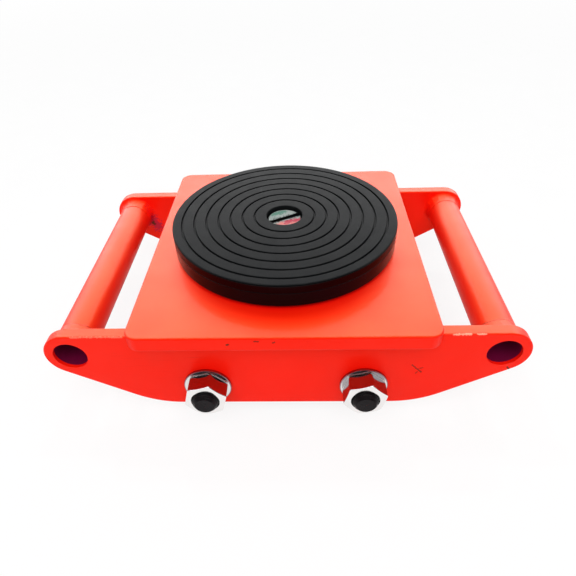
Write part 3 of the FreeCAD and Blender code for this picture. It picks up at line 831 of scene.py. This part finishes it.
class Look(Enum):
    """The finishes of the skate."""

    RED = Finish(
        "red_enamel_paint", "red_enamel", Kind.PAINT,
        colour=(0.93, 0.004, 0.002, 1.0),
        cloud=(0.90, 0.003, 0.001, 1.0),
        worn=(0.45, 0.008, 0.010, 1.0),
        roughness=0.5, gloss=0.2, glint=(1.0, 0.9, 0.05, 1.0), skin=0.05,
        lacquer=0.085, lacquer_roughness=0.14,
        marks=(
            StraightMark((77.3, -86.5, 55.0), (83.6, -86.5, 48.5), 0.7, SCORED),
            StraightMark((81.0, -86.5, 51.2), (84.1, -86.5, 52.6), 0.5, SCORED),
            StraightMark((82.0, -86.5, 50.2), (80.4, -86.5, 47.2), 0.5, SCORED),
            # Painted highlights: pale streaks along the rounded front top edges of the side plates, where
            # light glints.
            StraightMark((98.0, -86.3, 80.8), (107.5, -86.3, 80.8), 1.2, PAINTED_HIGHLIGHT),
            StraightMark((111.0, -86.3, 80.8), (116.0, -86.3, 80.8), 0.9, PAINTED_HIGHLIGHT),
            StraightMark((-125.0, -86.3, 80.8), (-94.7, -86.3, 80.8), 1.0, FAINT_PAINTED_HIGHLIGHT),
            StraightMark((134.6, -86.5, 52.6), (137.4, -86.5, 49.4), 1.0, SCORED),
            # A darker purple-red patch on the rear plate's inner face, with a darker core.
            StraightMark((-124.0, 78.5, 68.0), (-115.0, 78.5, 52.0), 9.0, DARKER_PATCH),
            StraightMark((-121.0, 78.5, 60.0), (-118.0, 78.5, 55.0), 2.5, SCORED),
            StraightMark((-31.0, -98.2, 86.0), (-30.0, -98.2, 86.4), 0.9, SCORED),
            StraightMark((-15.5, -98.2, 88.6), (-13.0, -98.2, 88.8), 0.8, SCORED),
            StraightMark((-5.0, -98.2, 87.6), (-4.2, -98.2, 87.9), 0.8, SCORED),
            # Darkens the bores purple-red: bare inside the tubes, and painted shade, which also covers most
            # of the plates' painted hole walls.
            ShadedBore(130.0, 65.0, 10.75, 84.2, (0.12, 0.002, 0.030, 1.0)),
        ),
    )
    BLACK = Finish(
        "black_enamel_paint", "black_enamel", Kind.PAINT,
        colour=(0.003, 0.002, 0.003, 1.0),
        cloud=(0.002, 0.002, 0.002, 1.0),
        worn=(0.02, 0.02, 0.02, 1.0),
        roughness=0.2, gloss=0.1, skin=0.05,
    )
    PAD = Finish(
        "pad_rubber_skin", "pad_rubber", Kind.MOULDED,
        colour=(0.005, 0.0055, 0.006, 1.0),
        cloud=(0.008, 0.0085, 0.009, 1.0),
        worn=(0.04, 0.041, 0.042, 1.0),
        roughness=0.35, gloss=0.014, skin=0.02, rings=0.015, mark_lacquer=0.2,
        # The pad's side is near black and glossier under the mark's lacquer; its faint purple tint is a
        # painted reflection of the red deck.
        marks=(Flank(74.75, (0.001, 0.0005, 0.0008, 1.0)),),
    )
    ZINC = Finish(
        "zinc_plated_steel", "zinc_plate", Kind.METAL,
        colour=(0.83, 0.82, 0.81, 1.0),
        cloud=(0.77, 0.77, 0.76, 1.0),
        worn=(0.55, 0.54, 0.53, 1.0),
        roughness=0.2, metallic=1.0, rings=LATHED,
        # The washers' rounded rim is greyish pink: painted reflection of the red plates, and painted shade.
        marks=(Flank(14.4, (0.34, 0.22, 0.25, 1.0)),),
    )
    NUT = Finish(
        "zinc_plated_nut", "zinc_plate", Kind.METAL,
        colour=(0.92, 0.91, 0.90, 1.0),
        cloud=(0.87, 0.87, 0.86, 1.0),
        worn=(0.66, 0.65, 0.64, 1.0),
        roughness=0.11, metallic=1.0, rings=LATHED,
        # The flats are darker than the faces: painted shade, for the shaded plate that they mirror.
        marks=(Flank(11.85, (0.38, 0.35, 0.38, 1.0), within=5.6, slope=0.404),),
    )
    SCREW = Finish(
        "worn_screw_steel", "zinc_plate", Kind.METAL,
        colour=(0.30, 0.33, 0.31, 1.0),
        cloud=(0.22, 0.27, 0.25, 1.0),
        worn=(0.42, 0.42, 0.41, 1.0),
        roughness=0.45, gloss=0.03, rings=0.01,
        marks=(
            # A dark teal tint on the head's upper left: tarnish, with painted shade.
            StraightMark((-7.5, 4.8, 106.4), (-1.0, 8.2, 106.4), 4.0, (0.09, 0.20, 0.155, 1.0)),
            StraightMark((-2.0, -6.8, 106.4), (8.0, -5.6, 106.4), 5.0, (0.62, 0.19, 0.17, 1.0)),
            StraightMark((1.5, -4.6, 106.4), (9.5, -1.8, 106.4), 4.2, (0.42, 0.035, 0.065, 1.0)),
            # Darkens the slot and a little past its edges: dirt, and painted shade.
            StraightMark((-9.1, -4.6, 106.4), (9.1, 4.6, 106.4), 4.4, DIRT_AND_SHADE),
            GrimeAndShade(106.33, 10.6, DIRT_AND_SHADE),
        ),
    )
    OXIDE = Finish(
        "black_oxide_steel", "blackened_steel", Kind.METAL,
        colour=(0.006, 0.004, 0.005, 1.0),
        cloud=(0.010, 0.008, 0.009, 1.0),
        worn=(0.05, 0.045, 0.045, 1.0),
        roughness=0.3, gloss=0.08, metallic=0.1, rings=LATHED,
    )
    BEARING = Finish(
        "ground_bearing_steel", "bearing_steel", Kind.METAL,
        colour=(0.60, 0.60, 0.61, 1.0),
        cloud=(0.52, 0.52, 0.53, 1.0),
        worn=(0.40, 0.40, 0.40, 1.0),
        roughness=0.2, metallic=1.0, rings=LATHED,
    )
    BRASS = Finish(
        "pressed_brass", "cage_brass", Kind.METAL,
        colour=(0.72, 0.51, 0.21, 1.0),
        cloud=(0.60, 0.41, 0.16, 1.0),
        worn=(0.80, 0.62, 0.34, 1.0),
        roughness=0.3, metallic=1.0, rings=LATHED,
    )
    BRONZE = Finish(
        "oiled_bronze", "bush_bronze", Kind.METAL,
        colour=(0.58, 0.37, 0.18, 1.0),
        cloud=(0.46, 0.28, 0.13, 1.0),
        worn=(0.66, 0.46, 0.26, 1.0),
        roughness=0.32, metallic=1.0, rings=LATHED,
    )
    NYLON = Finish(
        "turned_nylon", "roller_nylon", Kind.MOULDED,
        colour=(0.78, 0.76, 0.69, 1.0),
        cloud=(0.72, 0.69, 0.61, 1.0),
        worn=(0.52, 0.49, 0.44, 1.0),
        roughness=0.42, gloss=0.4, skin=0.012, rings=0.06,
    )


class Workshop:
    """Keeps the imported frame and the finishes, and puts pieces and finishes in place."""

    # Facets that meet at less than this, in radians, are shaded as one surface.
    SMOOTH_BELOW = 0.6
    # Corners of facets that are closer than this, in metres, are one corner.
    FACET_GAP = 1e-6
    # How strongly the large faces keep their own shading at an edge, at most 100.
    FLATNESS = 100

    def __init__(self, frame: dict) -> None:
        """Makes every finish.

        Args:
            frame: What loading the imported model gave.
        """
        self.nodes = frame["nodes"]
        effects = Effects()
        self.finishes = {look: look.value.material(effects) for look in Look}
        self.smoothing = self._smoothing()

    @classmethod
    def _smoothing(cls) -> bpy.types.NodeTree:
        """Makes the modifier that joins a solid's loose facets and smooths all but its sharp edges.

        Returns:
            The modifier's nodes.
        """
        tree = bpy.data.node_groups.new("joined_facets", "GeometryNodeTree")
        for way in ("INPUT", "OUTPUT"):
            tree.interface.new_socket("Geometry", in_out=way, socket_type="NodeSocketGeometry")
        bench = Bench(tree)
        given = bench.add("NodeGroupInput").outputs[0]
        joined = bench.add("GeometryNodeMergeByDistance", {"Geometry": given, "Distance": cls.FACET_GAP})
        angle = bench.add("GeometryNodeInputMeshEdgeAngle").outputs["Unsigned Angle"]
        soft = bench.add("FunctionNodeCompare", {0: angle, 1: cls.SMOOTH_BELOW}, operation="LESS_THAN")
        faces = {"Geometry": joined.outputs["Geometry"], "Shade Smooth": True}
        whole = bench.add("GeometryNodeSetShadeSmooth", faces, domain="FACE")
        edges = {"Geometry": whole.outputs["Geometry"], "Shade Smooth": soft.outputs["Result"]}
        shaded = bench.add("GeometryNodeSetShadeSmooth", edges, domain="EDGE")
        bench.add("NodeGroupOutput", {0: shaded.outputs["Geometry"]})
        return tree

    def dress(self, look: Look, *names: str) -> None:
        """Gives solids that stay as they are a finish and smooth shading.

        Args:
            look: The finish.
            *names: The solids' node names.
        """
        for name in names:
            node = self.nodes[name]
            for holder in node.material_slots:
                holder.material = self.finishes[look]
            joined = node.modifiers.new("joined_facets", "NODES")
            joined.node_group = self.smoothing
            normals = node.modifiers.new("flat_faces_first", "WEIGHTED_NORMAL")
            normals.mode = "FACE_AREA"
            normals.weight = self.FLATNESS
            normals.keep_sharp = True
            LOG.info("dressed %s with %s", name, look.value.name)

    def fit(self, surface: Surface, name: str, look: Look, body: str, node: str) -> bpy.types.Object:
        """Makes a piece that stands for a solid and rides with its body.

        Args:
            surface: The piece's shape.
            name: The piece's name.
            look: Its finish.
            body: The body that it moves with.
            node: The solid that it stands for.

        Returns:
            The piece.
        """
        piece = surface.as_piece(name, self.finishes[look])
        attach(piece, body)
        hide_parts(node)
        LOG.info("made %s in place of %s, %d faces", name, node, len(piece.data.polygons))
        return piece


@dataclass
class WeldedFrame:
    """The red frame: deck, side plates, handle tubes and the weld beads that join them."""

    # How far a bead's root lies in the corner, in the units of its section.
    ROOT_DEPTH = 0.05

    handle_x: float = 130.0
    handle_z: float = 65.0
    tube_radius: float = 12.0
    plate_inside: float = 78.5
    plate_outside: float = 86.5
    deck_bottom: float = 81.0
    ring_rise: float = 3.6
    ring_reach: float = 9.0
    ring_sunk: float = 0.35
    ring_hollow: float = 0.33
    ring_ripples: int = 34
    ring_ripple_lag: float = 1.6
    ring_ripple_height: float = 0.06
    ring_lump_height: float = 0.12
    bead_leg: float = 5.0
    bead_crown: float = 0.2
    bead_length: float = 36.0
    bead_fade: float = 4.0
    bead_places: tuple[float, ...] = (-57.25, 0.0, 57.25)
    bead_ripple_pitch: float = 2.4
    bead_ripple_lag: float = 1.8
    bead_ripple_height: float = 0.3
    body: str = "skate_frame"

    def build(self, shop: Workshop) -> None:
        """Makes the weld beads and dresses the plates and tubes.

        Args:
            shop: The workshop.
        """
        shop.dress(Look.RED, "top_plate", "side_plate_front", "side_plate_rear")
        shop.dress(Look.RED, "handle_tube_left", "handle_tube_right")
        shop.fit(self.handle_rings(), "handle_weld_rings", Look.RED, self.body, "handle_weld_beads")
        shop.fit(self.deck_beads(), "deck_weld_runs", Look.RED, self.body, "top_plate_weld_beads")

    @classmethod
    def bead_section(cls, leg: Array, crown: Array, steps: int) -> tuple[Array, Array]:
        """Gives a weld bead's cross-section in a corner between two plates.

        The face runs straight from one toe to the other and swells out, or sinks in, as half a sine wave. The
        root comes after it, a little way into the corner.

        Args:
            leg: How far the toes stand from the corner, for each section.
            crown: How far the face swells, or sinks where it is negative, for each section.
            steps: How many points the face has.

        Returns:
            Distances from either plate, as points by sections.
        """
        share = np.linspace(0.0, 1.0, steps)[:, None]
        swell = crown * np.sin(math.pi * share) / math.sqrt(2.0)
        root = np.full((1, leg.shape[-1]), -cls.ROOT_DEPTH)
        return np.vstack([leg * share + swell, root]), np.vstack([leg * (1.0 - share) + swell, root])

    @staticmethod
    def ripples(phase: Array, lag: float, steps: int) -> tuple[Array, Array]:
        """Gives a weld bead's ripples, which lag in the middle of its face, as overlapping scales do.

        Args:
            phase: How far the ripples have come at each section, in radians.
            lag: How far they lag, in radians.
            steps: How many points the face has.

        Returns:
            The ripples, from 0 to 1, as points by sections, and how far each point lies in the middle.
        """
        middle = np.sin(np.linspace(0.0, math.pi, steps + 1))[:, None]
        return 0.5 + 0.5 * np.cos(phase + lag * middle), middle

    def handle_rings(self) -> Surface:
        """Makes the four rings of weld round the ends of the handle tubes.

        A ring is the bead's hollow section carried round the tube, drawn out along it. Its size and swell
        change with the angle.

        Returns:
            The rings.
        """
        steps = 15
        angle = np.linspace(0.0, FULL_TURN, 288, endpoint=False)
        wave, middle = self.ripples(self.ring_ripples * angle, self.ring_ripple_lag, steps)
        size = 0.96 + 0.03 * np.sin(3.0 * angle) + 0.02 * np.sin(8.0 * angle + 1.0)
        rise, reach = self.bead_section(size, -self.ring_hollow * size, steps)
        lumps = self.ring_lump_height * np.sin(5.0 * angle + 0.4) * np.sin(12.0 * angle)
        swell = (self.ring_ripple_height * wave + lumps) * np.where(rise > 0.0, middle, 0.0)
        radius = self.tube_radius + self.ring_rise * rise + swell
        along = -(self.plate_inside + self.ring_sunk - (self.ring_reach + self.ring_sunk) * reach - swell)
        ring = around(radius, along, angle, Axis.Y, True)
        return ring.front_and_rear((-self.handle_x, self.handle_x), self.handle_z)

    def deck_beads(self) -> Surface:
        """Makes the short runs of weld under the deck's overhang.

        A run is the bead's section carried straight along, with rippled size and swell. It shrinks at its
        two ends as the edge of an ellipse does.

        Returns:
            The runs.
        """
        half, steps = 0.5 * self.bead_length, 9
        along = half * np.sin(0.5 * math.pi * np.linspace(-1.0, 1.0, 181))
        fade = np.clip((np.abs(along) - half + self.bead_fade) / self.bead_fade, 0.0, 1.0)
        ease = np.sqrt(1.0 - fade ** 2)
        wave, middle = self.ripples(FULL_TURN * along / self.bead_ripple_pitch, self.bead_ripple_lag, steps)
        leg = self.bead_leg * ease * (0.95 + 0.05 * np.sin(0.6 * along))
        out, down = self.bead_section(leg, self.bead_crown * leg, steps)
        swell = self.bead_ripple_height * wave * ease * np.where(out > 0.0, middle, 0.0)
        x = np.broadcast_to(along, out.shape)
        y = -(self.plate_outside + out + swell)
        z = self.deck_bottom - down - swell
        y[:, [0, -1]] = -self.plate_outside
        z[:, [0, -1]] = self.deck_bottom
        run = Surface.from_grid(np.stack([x, y, z], axis=-1), True, False)
        return run.front_and_rear(self.bead_places)


@dataclass
class AxleSet:
    """The two axles with the washers, nuts and spacers that hold them in the side plates."""

    axle_x: float = 49.25
    axle_z: float = 37.5
    bar_radius: float = 10.0
    bar_edge: float = 0.3
    neck_radius: float = 7.9
    thread_radius: float = 7.95
    thread_pitch: float = 2.0
    thread_depth: float = 0.9
    plate_inside: float = 78.5
    plate_outside: float = 86.5
    axle_end: float = 103.5
    end_radius: float = 6.0
    washer_radius: float = 15.0
    washer_bore: float = 8.5
    washer_thickness: float = 2.0
    nut_flats: float = 24.0
    nut_height: float = 11.5
    nut_bore: float = 8.05
    nut_turn: float = 15.5
    nut_corner_ease: float = 0.22
    nut_back_slope: float = 15.0
    nut_front_slope: float = 22.0
    nut_mouth_width: float = 0.9
    nut_mouth_depth: float = 0.8
    body: str = "skate_frame"

    def build(self, shop: Workshop) -> None:
        """Makes the axles, washers and nuts, and dresses the spacers.

        Args:
            shop: The workshop.
        """
        axle = self.axle()
        for side, x in (("left", -self.axle_x), ("right", self.axle_x)):
            placed = axle.moved(x=x, z=self.axle_z)
            shop.fit(placed, f"threaded_axle_{side}", Look.OXIDE, self.body, f"axle_{side}")
        shop.fit(self.four(self.washer()), "zinc_washers", Look.ZINC, self.body, "axle_washers")
        shop.fit(self.four(self.nut()), "zinc_nuts", Look.NUT, self.body, "axle_nuts")
        shop.dress(Look.ZINC, "axle_end_spacers", "axle_centre_spacers", "bearing_spacer_sleeves")

    def four(self, surface: Surface) -> Surface:
        """Gives copies of a piece, made about the Y axis at the front, at the four axle ends."""
        return surface.front_and_rear((-self.axle_x, self.axle_x), self.axle_z)

    def axle(self) -> Surface:
        """Makes one axle bar with a screw thread at either end.

        The radius is a function of the place along the bar and the angle: a plain bar in the middle, and
        outside the plates a crest less a triangle wave of the thread's phase, cut off by a 45 degree cone.

        Returns:
            The axle, about the Y axis.
        """
        angle = np.linspace(0.0, FULL_TURN, 96, endpoint=False)
        fine = np.linspace(self.plate_outside, self.axle_end, 128)
        inside, bar, neck = self.plate_inside, self.bar_radius, self.neck_radius
        shank_place = np.array([0.0, inside - self.bar_edge, inside, inside, self.plate_outside])
        shank = np.array([bar, bar, bar - self.bar_edge, neck, neck])
        face = np.array([self.end_radius - 0.1, self.end_radius - 0.4, 0.5 * self.end_radius, 0.0])
        place = np.concatenate([shank_place, fine, np.full(len(face), self.axle_end)])
        limit = np.concatenate([shank, np.full(len(fine), self.thread_radius), face])
        place = np.concatenate([-place[::-1], place[1:]])[:, None]
        limit = np.concatenate([limit[::-1], limit[1:]])[:, None]
        phase = np.mod(place / self.thread_pitch + angle / FULL_TURN, 1.0)
        steepness, crest = 1.3, 0.2
        groove = self.thread_depth * np.clip(steepness * np.abs(2.0 * phase - 1.0) - crest, 0.0, 1.0)
        threaded = (np.abs(place) > self.plate_outside) & (limit == self.thread_radius)
        cone = self.end_radius + self.axle_end - np.abs(place)
        cut = limit - np.where(threaded, groove, 0.0)
        radius = np.minimum(cut, np.where(threaded, cone, self.bar_radius))
        along = np.broadcast_to(place, radius.shape)
        return around(radius, along, angle, Axis.Y, False)

    def washer(self) -> Surface:
        """Makes a stamped washer, rounder on its outer face, against the front plate."""
        inner, outer = -self.plate_outside, -self.plate_outside - self.washer_thickness
        return turned(rounded_outline([
            (self.washer_bore, inner, 0.2),
            (self.washer_bore, outer, 0.3),
            (self.washer_radius, outer, 0.5),
            (self.washer_radius, inner, 0.3),
        ]), 128, Axis.Y)

    def nut(self) -> Surface:
        """Makes a hexagon nut against the front washer.

        The columns run along the six flats, closer at their ends. A column's outer radius is the flat's
        distance over the cosine of the angle from the flat's middle, eased at the corners. The faces fall
        away outside the flats' circle on a cone, steeper in front, so that each flat ends in a curve.

        Returns:
            The nut.
        """
        flat, half = 0.5 * self.nut_flats, 0.5 * self.nut_height
        near_end = 0.93
        share = np.array([-0.985, -near_end, -0.75, -0.5, -0.25, 0.0, 0.25, 0.5, 0.75, near_end, 0.985, 1.0])
        aside = np.arctan(share * math.tan(math.pi / 6.0))
        middle = np.radians(self.nut_turn + 30.0 + 60.0 * np.arange(6))
        angle = (middle[:, None] + aside[None, :]).ravel()
        corner = np.clip((np.abs(share) - near_end) / (1.0 - near_end), 0.0, 1.0) ** 2
        outer = np.tile(flat / np.cos(aside) - self.nut_corner_ease * corner, 6)
        land = 0.98 * flat
        bore, mouth, rim, level = (
            np.full_like(outer, value)
            for value in (self.nut_bore, self.nut_bore + self.nut_mouth_width, land, half)
        )
        back = level - (outer - land) * math.tan(math.radians(self.nut_back_slope))
        front = (outer - land) * math.tan(math.radians(self.nut_front_slope)) - level
        inner = level - self.nut_mouth_depth
        radius = np.stack([bore, mouth, rim, outer, outer, rim, mouth, bore])
        along = np.stack([inner, level, level, back, front, -level, -level, -inner])
        # Two more rows close to each edge keep the flats flat when they are shaded.
        share = np.array([0.0, 1.0 - near_end, near_end])[None, :, None]
        radius = radius[:, None] + share * (np.roll(radius, -1, axis=0) - radius)[:, None]
        along = along[:, None] + share * (np.roll(along, -1, axis=0) - along)[:, None]
        place = -self.plate_outside - self.washer_thickness - half
        rows = (-1, len(angle))
        return around(radius.reshape(rows), along.reshape(rows), angle, Axis.Y, True).moved(y=place)


@dataclass
class RollerSet:
    """The four nylon rollers with their ball bearings."""

    axle_x: float = 49.25
    axle_z: float = 37.5
    middle_y: float = 36.5
    radius: float = 37.5
    half_width: float = 33.5
    edge: float = 2.0
    seat_radius: float = 23.55
    shoulder_radius: float = 16.5
    shoulder: float = 18.5

    def build(self, shop: Workshop) -> None:
        """Makes the rollers and dresses their bearings.

        Args:
            shop: The workshop.
        """
        roller = self.roller()
        for row, y in (("front", -self.middle_y), ("rear", self.middle_y)):
            for side, x in (("left", -self.axle_x), ("right", self.axle_x)):
                corner = f"{row}_{side}"
                placed, body = roller.moved(x, y, self.axle_z), f"roller_set_{corner}"
                shop.fit(placed, f"nylon_roller_{corner}", Look.NYLON, body, f"roller_{corner}")
                shop.dress(Look.BEARING, f"bearing_outer_rings_{corner}", f"bearing_shields_{corner}")
                shop.dress(Look.BEARING, f"bearing_balls_{corner}")
                shop.dress(Look.BRASS, f"bearing_cages_{corner}")
        shop.dress(Look.BEARING, "bearing_inner_rings")

    def roller(self) -> Surface:
        """Makes one roller: its outline, with a broken outer edge and a seat in either end, turned once.

        Returns:
            The roller, about the Y axis.
        """
        half, seat = self.half_width, self.seat_radius
        upper = [
            (self.shoulder_radius, self.shoulder, 0.2),
            (seat, self.shoulder, 0.2),
            (seat, half, 0.6),
            (self.radius - self.edge, half, 0.7),
            (self.radius, half - self.edge, 0.7),
        ]
        lower = [(radius, -along, rounding) for radius, along, rounding in reversed(upper)]
        return turned(rounded_outline(upper + lower), 192, Axis.Y)


@dataclass
class SwivelCap:
    """The swivelling cap: a black disc with a grooved rubber pad, on a thrust bearing and a slotted screw."""

    radius: float = 75.0
    bottom: float = 93.0
    top: float = 103.0
    hub_bore: float = 10.15
    hub_radius: float = 19.95
    seat_radius: float = 30.05
    seat_roof: float = 99.5
    pad_top: float = 109.0
    pad_hole: float = 12.0
    pad_edge: float = 1.0
    groove_count: int = 7
    groove_first: float = 20.2
    groove_pitch: float = 8.05
    groove_width: float = 1.3
    groove_depth: float = 1.4
    body: str = "swivel_cap"

    def build(self, shop: Workshop) -> None:
        """Makes the disc and the pad, and dresses the bearing, the bush and the screw.

        Args:
            shop: The workshop.
        """
        shop.fit(self.disc(), "cap_plate", Look.BLACK, self.body, "cap_disc")
        shop.fit(self.pad(), "grooved_pad", Look.PAD, self.body, "rubber_pad")
        shop.dress(Look.BRONZE, "cap_bush")
        shop.dress(Look.BEARING, "thrust_race_upper", "thrust_race_lower", "thrust_balls")
        shop.dress(Look.BRASS, "thrust_cage")
        shop.dress(Look.SCREW, "pivot_screw")
        shop.dress(Look.ZINC, "pivot_washer", "pivot_nut")

    def disc(self) -> Surface:
        """Makes the steel disc, with the recess of the thrust bearing below: its outline turned once."""
        return turned(rounded_outline([
            (self.hub_bore, self.bottom, 0.3),
            (self.hub_radius, self.bottom, 0.2),
            (self.hub_radius, self.seat_roof, 0.1),
            (self.seat_radius, self.seat_roof, 0.1),
            (self.seat_radius, self.bottom, 0.3),
            (self.radius, self.bottom, 1.2),
            (self.radius, self.top, 0.3),
            (self.hub_bore, self.top, 0.2),
        ]), 256, Axis.Z)

    def pad(self) -> Surface:
        """Makes the rubber pad: an outline with round-lipped grooves in its top, turned once.

        Returns:
            The pad.
        """
        corners: list[Corner] = [(self.pad_hole, self.top, 0.2), (self.pad_hole, self.pad_top, 0.6)]
        floor = self.pad_top - self.groove_depth
        for step in range(self.groove_count):
            middle = self.groove_first + step * self.groove_pitch
            near, far = middle - 0.5 * self.groove_width, middle + 0.5 * self.groove_width
            corners += [(near, self.pad_top, 0.3), (near + 0.1, floor, 0.25)]
            corners += [(far - 0.1, floor, 0.25), (far, self.pad_top, 0.3)]
        corners += [(self.radius, self.pad_top, self.pad_edge), (self.radius, self.top, 0.3)]
        return turned(rounded_outline(corners, steps=3), 320, Axis.Z)


class LampUse(Enum):
    """What a lamp is for."""

    LIGHT = "lights surfaces"
    GLOSS = "shows in gloss"


@dataclass
class Lamp:
    """A plain rectangular studio lamp.

    Attributes:
        name: Its name.
        place: Where it stands, in metres.
        target: The place that it faces, in metres.
        width: Its width in metres.
        height: Its height in metres.
        brightness: Its power for each square metre of its face, in watts, over pi.
        uses: What it is for.
    """

    name: str
    place: Place
    target: Place
    width: float
    height: float
    brightness: float
    uses: tuple[LampUse, ...]

    def build(self) -> None:
        """Hangs the lamp and turns it to its target."""
        light = bpy.data.lights.new(self.name, "AREA")
        light.shape = "RECTANGLE"
        light.size, light.size_y = self.width, self.height
        light.energy = self.brightness * math.pi * self.width * self.height
        lamp = bpy.data.objects.new(self.name, light)
        lamp.location = self.place
        facing = Vector(self.target) - Vector(self.place)
        lamp.rotation_euler = facing.to_track_quat("-Z", "Y").to_euler()
        lamp.visible_camera = False
        lamp.visible_diffuse = LampUse.LIGHT in self.uses
        lamp.visible_glossy = LampUse.GLOSS in self.uses
        bpy.context.scene.collection.objects.link(lamp)


BOTH_USES = (LampUse.LIGHT, LampUse.GLOSS)


@dataclass
class Studio:
    """The pale floor, the soft light and the camera.

    Attributes:
        floor_size: Half the floor's side, in millimetres.
        floor_drop: How far the floor lies under the rollers, in millimetres.
        floor_colour: The floor where light falls on it.
        floor_glow: How much of its look under the part is plain white, from 0 to 1.
        floor_fade: The distances, in metres, between which it turns wholly white.
        card_colour: The dark card.
        card_size: Half the card's width and its height, in millimetres.
        card_distance: How far in front of the part it stands, in millimetres.
        sky: The brightness of the light from all round.
        lamps: The lamps.
        camera_place: Where the camera stands, in metres.
        camera_right: The direction that lies to the right in the picture.
        camera_up: The direction that lies upwards in the picture.
        focal_length: The lens, in millimetres.
        frame_width: The width of the frame behind it, in millimetres.
        shift: How far the picture's middle lies right and up from the lens axis, in picture widths.
        clip: The nearest and the farthest distance that the camera sees, in metres.
    """

    floor_size: float = 6000.0
    floor_drop: float = 0.1
    floor_colour: Colour = (0.86, 0.86, 0.86, 1.0)
    floor_glow: float = 0.82
    floor_fade: tuple[float, float] = (0.3, 2.0)
    card_colour: Colour = (0.02, 0.02, 0.02, 1.0)
    card_size: tuple[float, float] = (4000.0, 2200.0)
    card_distance: float = 1300.0
    sky: float = 0.5
    lamps: tuple[Lamp, ...] = (
        Lamp("back_wall", (0.0, 1.9, 0.6), (0.0, 0.0, 0.6), 5.0, 1.0, 4.6, (LampUse.GLOSS,)),
        Lamp("sloped_panel", (0.0, 1.5, 1.7), (0.0, 0.4, 0.9), 5.0, 1.5, 8.5, (LampUse.GLOSS,)),
        Lamp("ceiling", (0.0, 0.2, 2.3), (0.0, 0.2, 0.0), 5.0, 1.8, 4.5, (LampUse.GLOSS,)),
        Lamp("front_soft", (0.0, -1.3, 1.7), (0.0, 0.0, 0.1), 2.0, 1.2, 4.5, (LampUse.LIGHT,)),
        Lamp("left_bulb", (-0.5, 0.5, 1.4), (0.0, 0.0, 0.1), 0.06, 0.06, 150.0, BOTH_USES),
        Lamp("right_bulb", (0.23, 0.43, 1.5), (0.0, 0.0, 0.1), 0.06, 0.06, 150.0, BOTH_USES),
    )
    camera_place: Place = (0.011438, -0.283664, 0.281266)
    camera_right: Place = (0.9992461, 0.0203270, -0.0330764)
    camera_up: Place = (0.0118538, 0.6515502, 0.7585129)
    focal_length: float = 30.382
    frame_width: float = 36.0
    shift: tuple[float, float] = (0.00627, 0.01221)
    clip: tuple[float, float] = (0.01, 50.0)

    def build(self) -> None:
        """Sets up the floor, the world, the lamps and the camera."""
        bpy.context.scene.view_settings.view_transform = "Standard"
        self.floor()
        self.card()
        self.world()
        for lamp in self.lamps:
            lamp.build()
        self.camera()
        LOG.info("set up the studio")

    @staticmethod
    def seen_directly(bench: Bench) -> Socket:
        """Gives 1 where the camera, a mirror or clear glass sees a surface, and 0 where it only lights.

        Args:
            bench: The bench of the surface's material or the world.

        Returns:
            The mask.
        """
        path = bench.add("ShaderNodeLightPath").outputs
        mirrored = bench.math("MAXIMUM", path["Is Glossy Ray"], path["Is Transmission Ray"])
        return bench.math("MAXIMUM", path["Is Camera Ray"], mirrored)

    def floor(self) -> None:
        """Lays a pale matt floor that looks nearly white, keeps a soft shadow and fades to white far off."""
        material, bench = start_material("pale_floor")
        place = bench.add("ShaderNodeTexCoord").outputs["Object"]
        rough = bench.spread(bench.noise(place, 30.0, 3.0), CLOUD_LOW, CLOUD_HIGH, 0.6, 0.9)
        matt = bench.add("ShaderNodeBsdfDiffuse", {"Color": self.floor_colour, "Roughness": rough})
        glow = bench.add("ShaderNodeEmission", {"Color": WHITE, "Strength": 1.0})
        distance = bench.vector_math("DISTANCE", place, ORIGIN).outputs["Value"]
        white = bench.spread(distance, *self.floor_fade, self.floor_glow, 1.0)
        share = bench.math("MULTIPLY", self.seen_directly(bench), white)
        both = bench.blend(share, matt.outputs["BSDF"], glow.outputs["Emission"])
        bench.add("ShaderNodeOutputMaterial", {"Surface": both})
        half = self.floor_size
        corner = (-half, -half, -self.floor_drop)
        ground = Surface.sheet(corner, (2.0 * half, 0.0, 0.0), (0.0, 2.0 * half, 0.0))
        ground.as_piece("floor", material)

    def card(self) -> None:
        """Stands a dark card in front, which mirrors alone see, so that bright metal has contrast."""
        material, bench = start_material("dark_card")
        matt = bench.add("ShaderNodeBsdfDiffuse", {"Color": self.card_colour})
        bench.add("ShaderNodeOutputMaterial", {"Surface": matt.outputs["BSDF"]})
        half, height = self.card_size
        corner = (-half, -self.card_distance, 0.0)
        sheet = Surface.sheet(corner, (2.0 * half, 0.0, 0.0), (0.0, 0.0, height))
        card = sheet.as_piece("dark_card", material)
        card.visible_camera = card.visible_diffuse = card.visible_shadow = False

    def world(self) -> None:
        """Makes the light from all round, which looks white where it is seen."""
        world = bpy.data.worlds.new("white_studio")
        world.use_nodes = True
        bpy.context.scene.world = world
        bench = Bench(world.node_tree)
        light, seen = (
            bench.add("ShaderNodeBackground", {"Color": WHITE, "Strength": strength}).outputs["Background"]
            for strength in (self.sky, 1.0)
        )
        both = bench.blend(self.seen_directly(bench), light, seen)
        bench.add("ShaderNodeOutputWorld", {"Surface": both})

    def camera(self) -> None:
        """Sets the camera at the photograph's viewing angle."""
        lens = bpy.data.cameras.new("camera")
        lens.sensor_width = self.frame_width
        lens.lens = self.focal_length
        lens.shift_x, lens.shift_y = self.shift
        lens.clip_start, lens.clip_end = self.clip
        camera = bpy.data.objects.new("camera", lens)
        right, up = Vector(self.camera_right), Vector(self.camera_up)
        turn = Matrix((right, up, right.cross(up))).transposed().to_4x4()
        camera.matrix_world = Matrix.Translation(self.camera_place) @ turn
        bpy.context.scene.collection.objects.link(camera)
        bpy.context.scene.camera = camera


def main() -> None:
    """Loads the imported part, dresses it piece by piece and sets up the studio."""
    logging.basicConfig(level=logging.INFO, format="%(name)s: %(message)s")
    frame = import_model()
    shop = Workshop(frame)
    for assembly in (WeldedFrame(), AxleSet(), RollerSet(), SwivelCap()):
        assembly.build(shop)
    Studio().build()


if __name__ == "__main__":
    main()
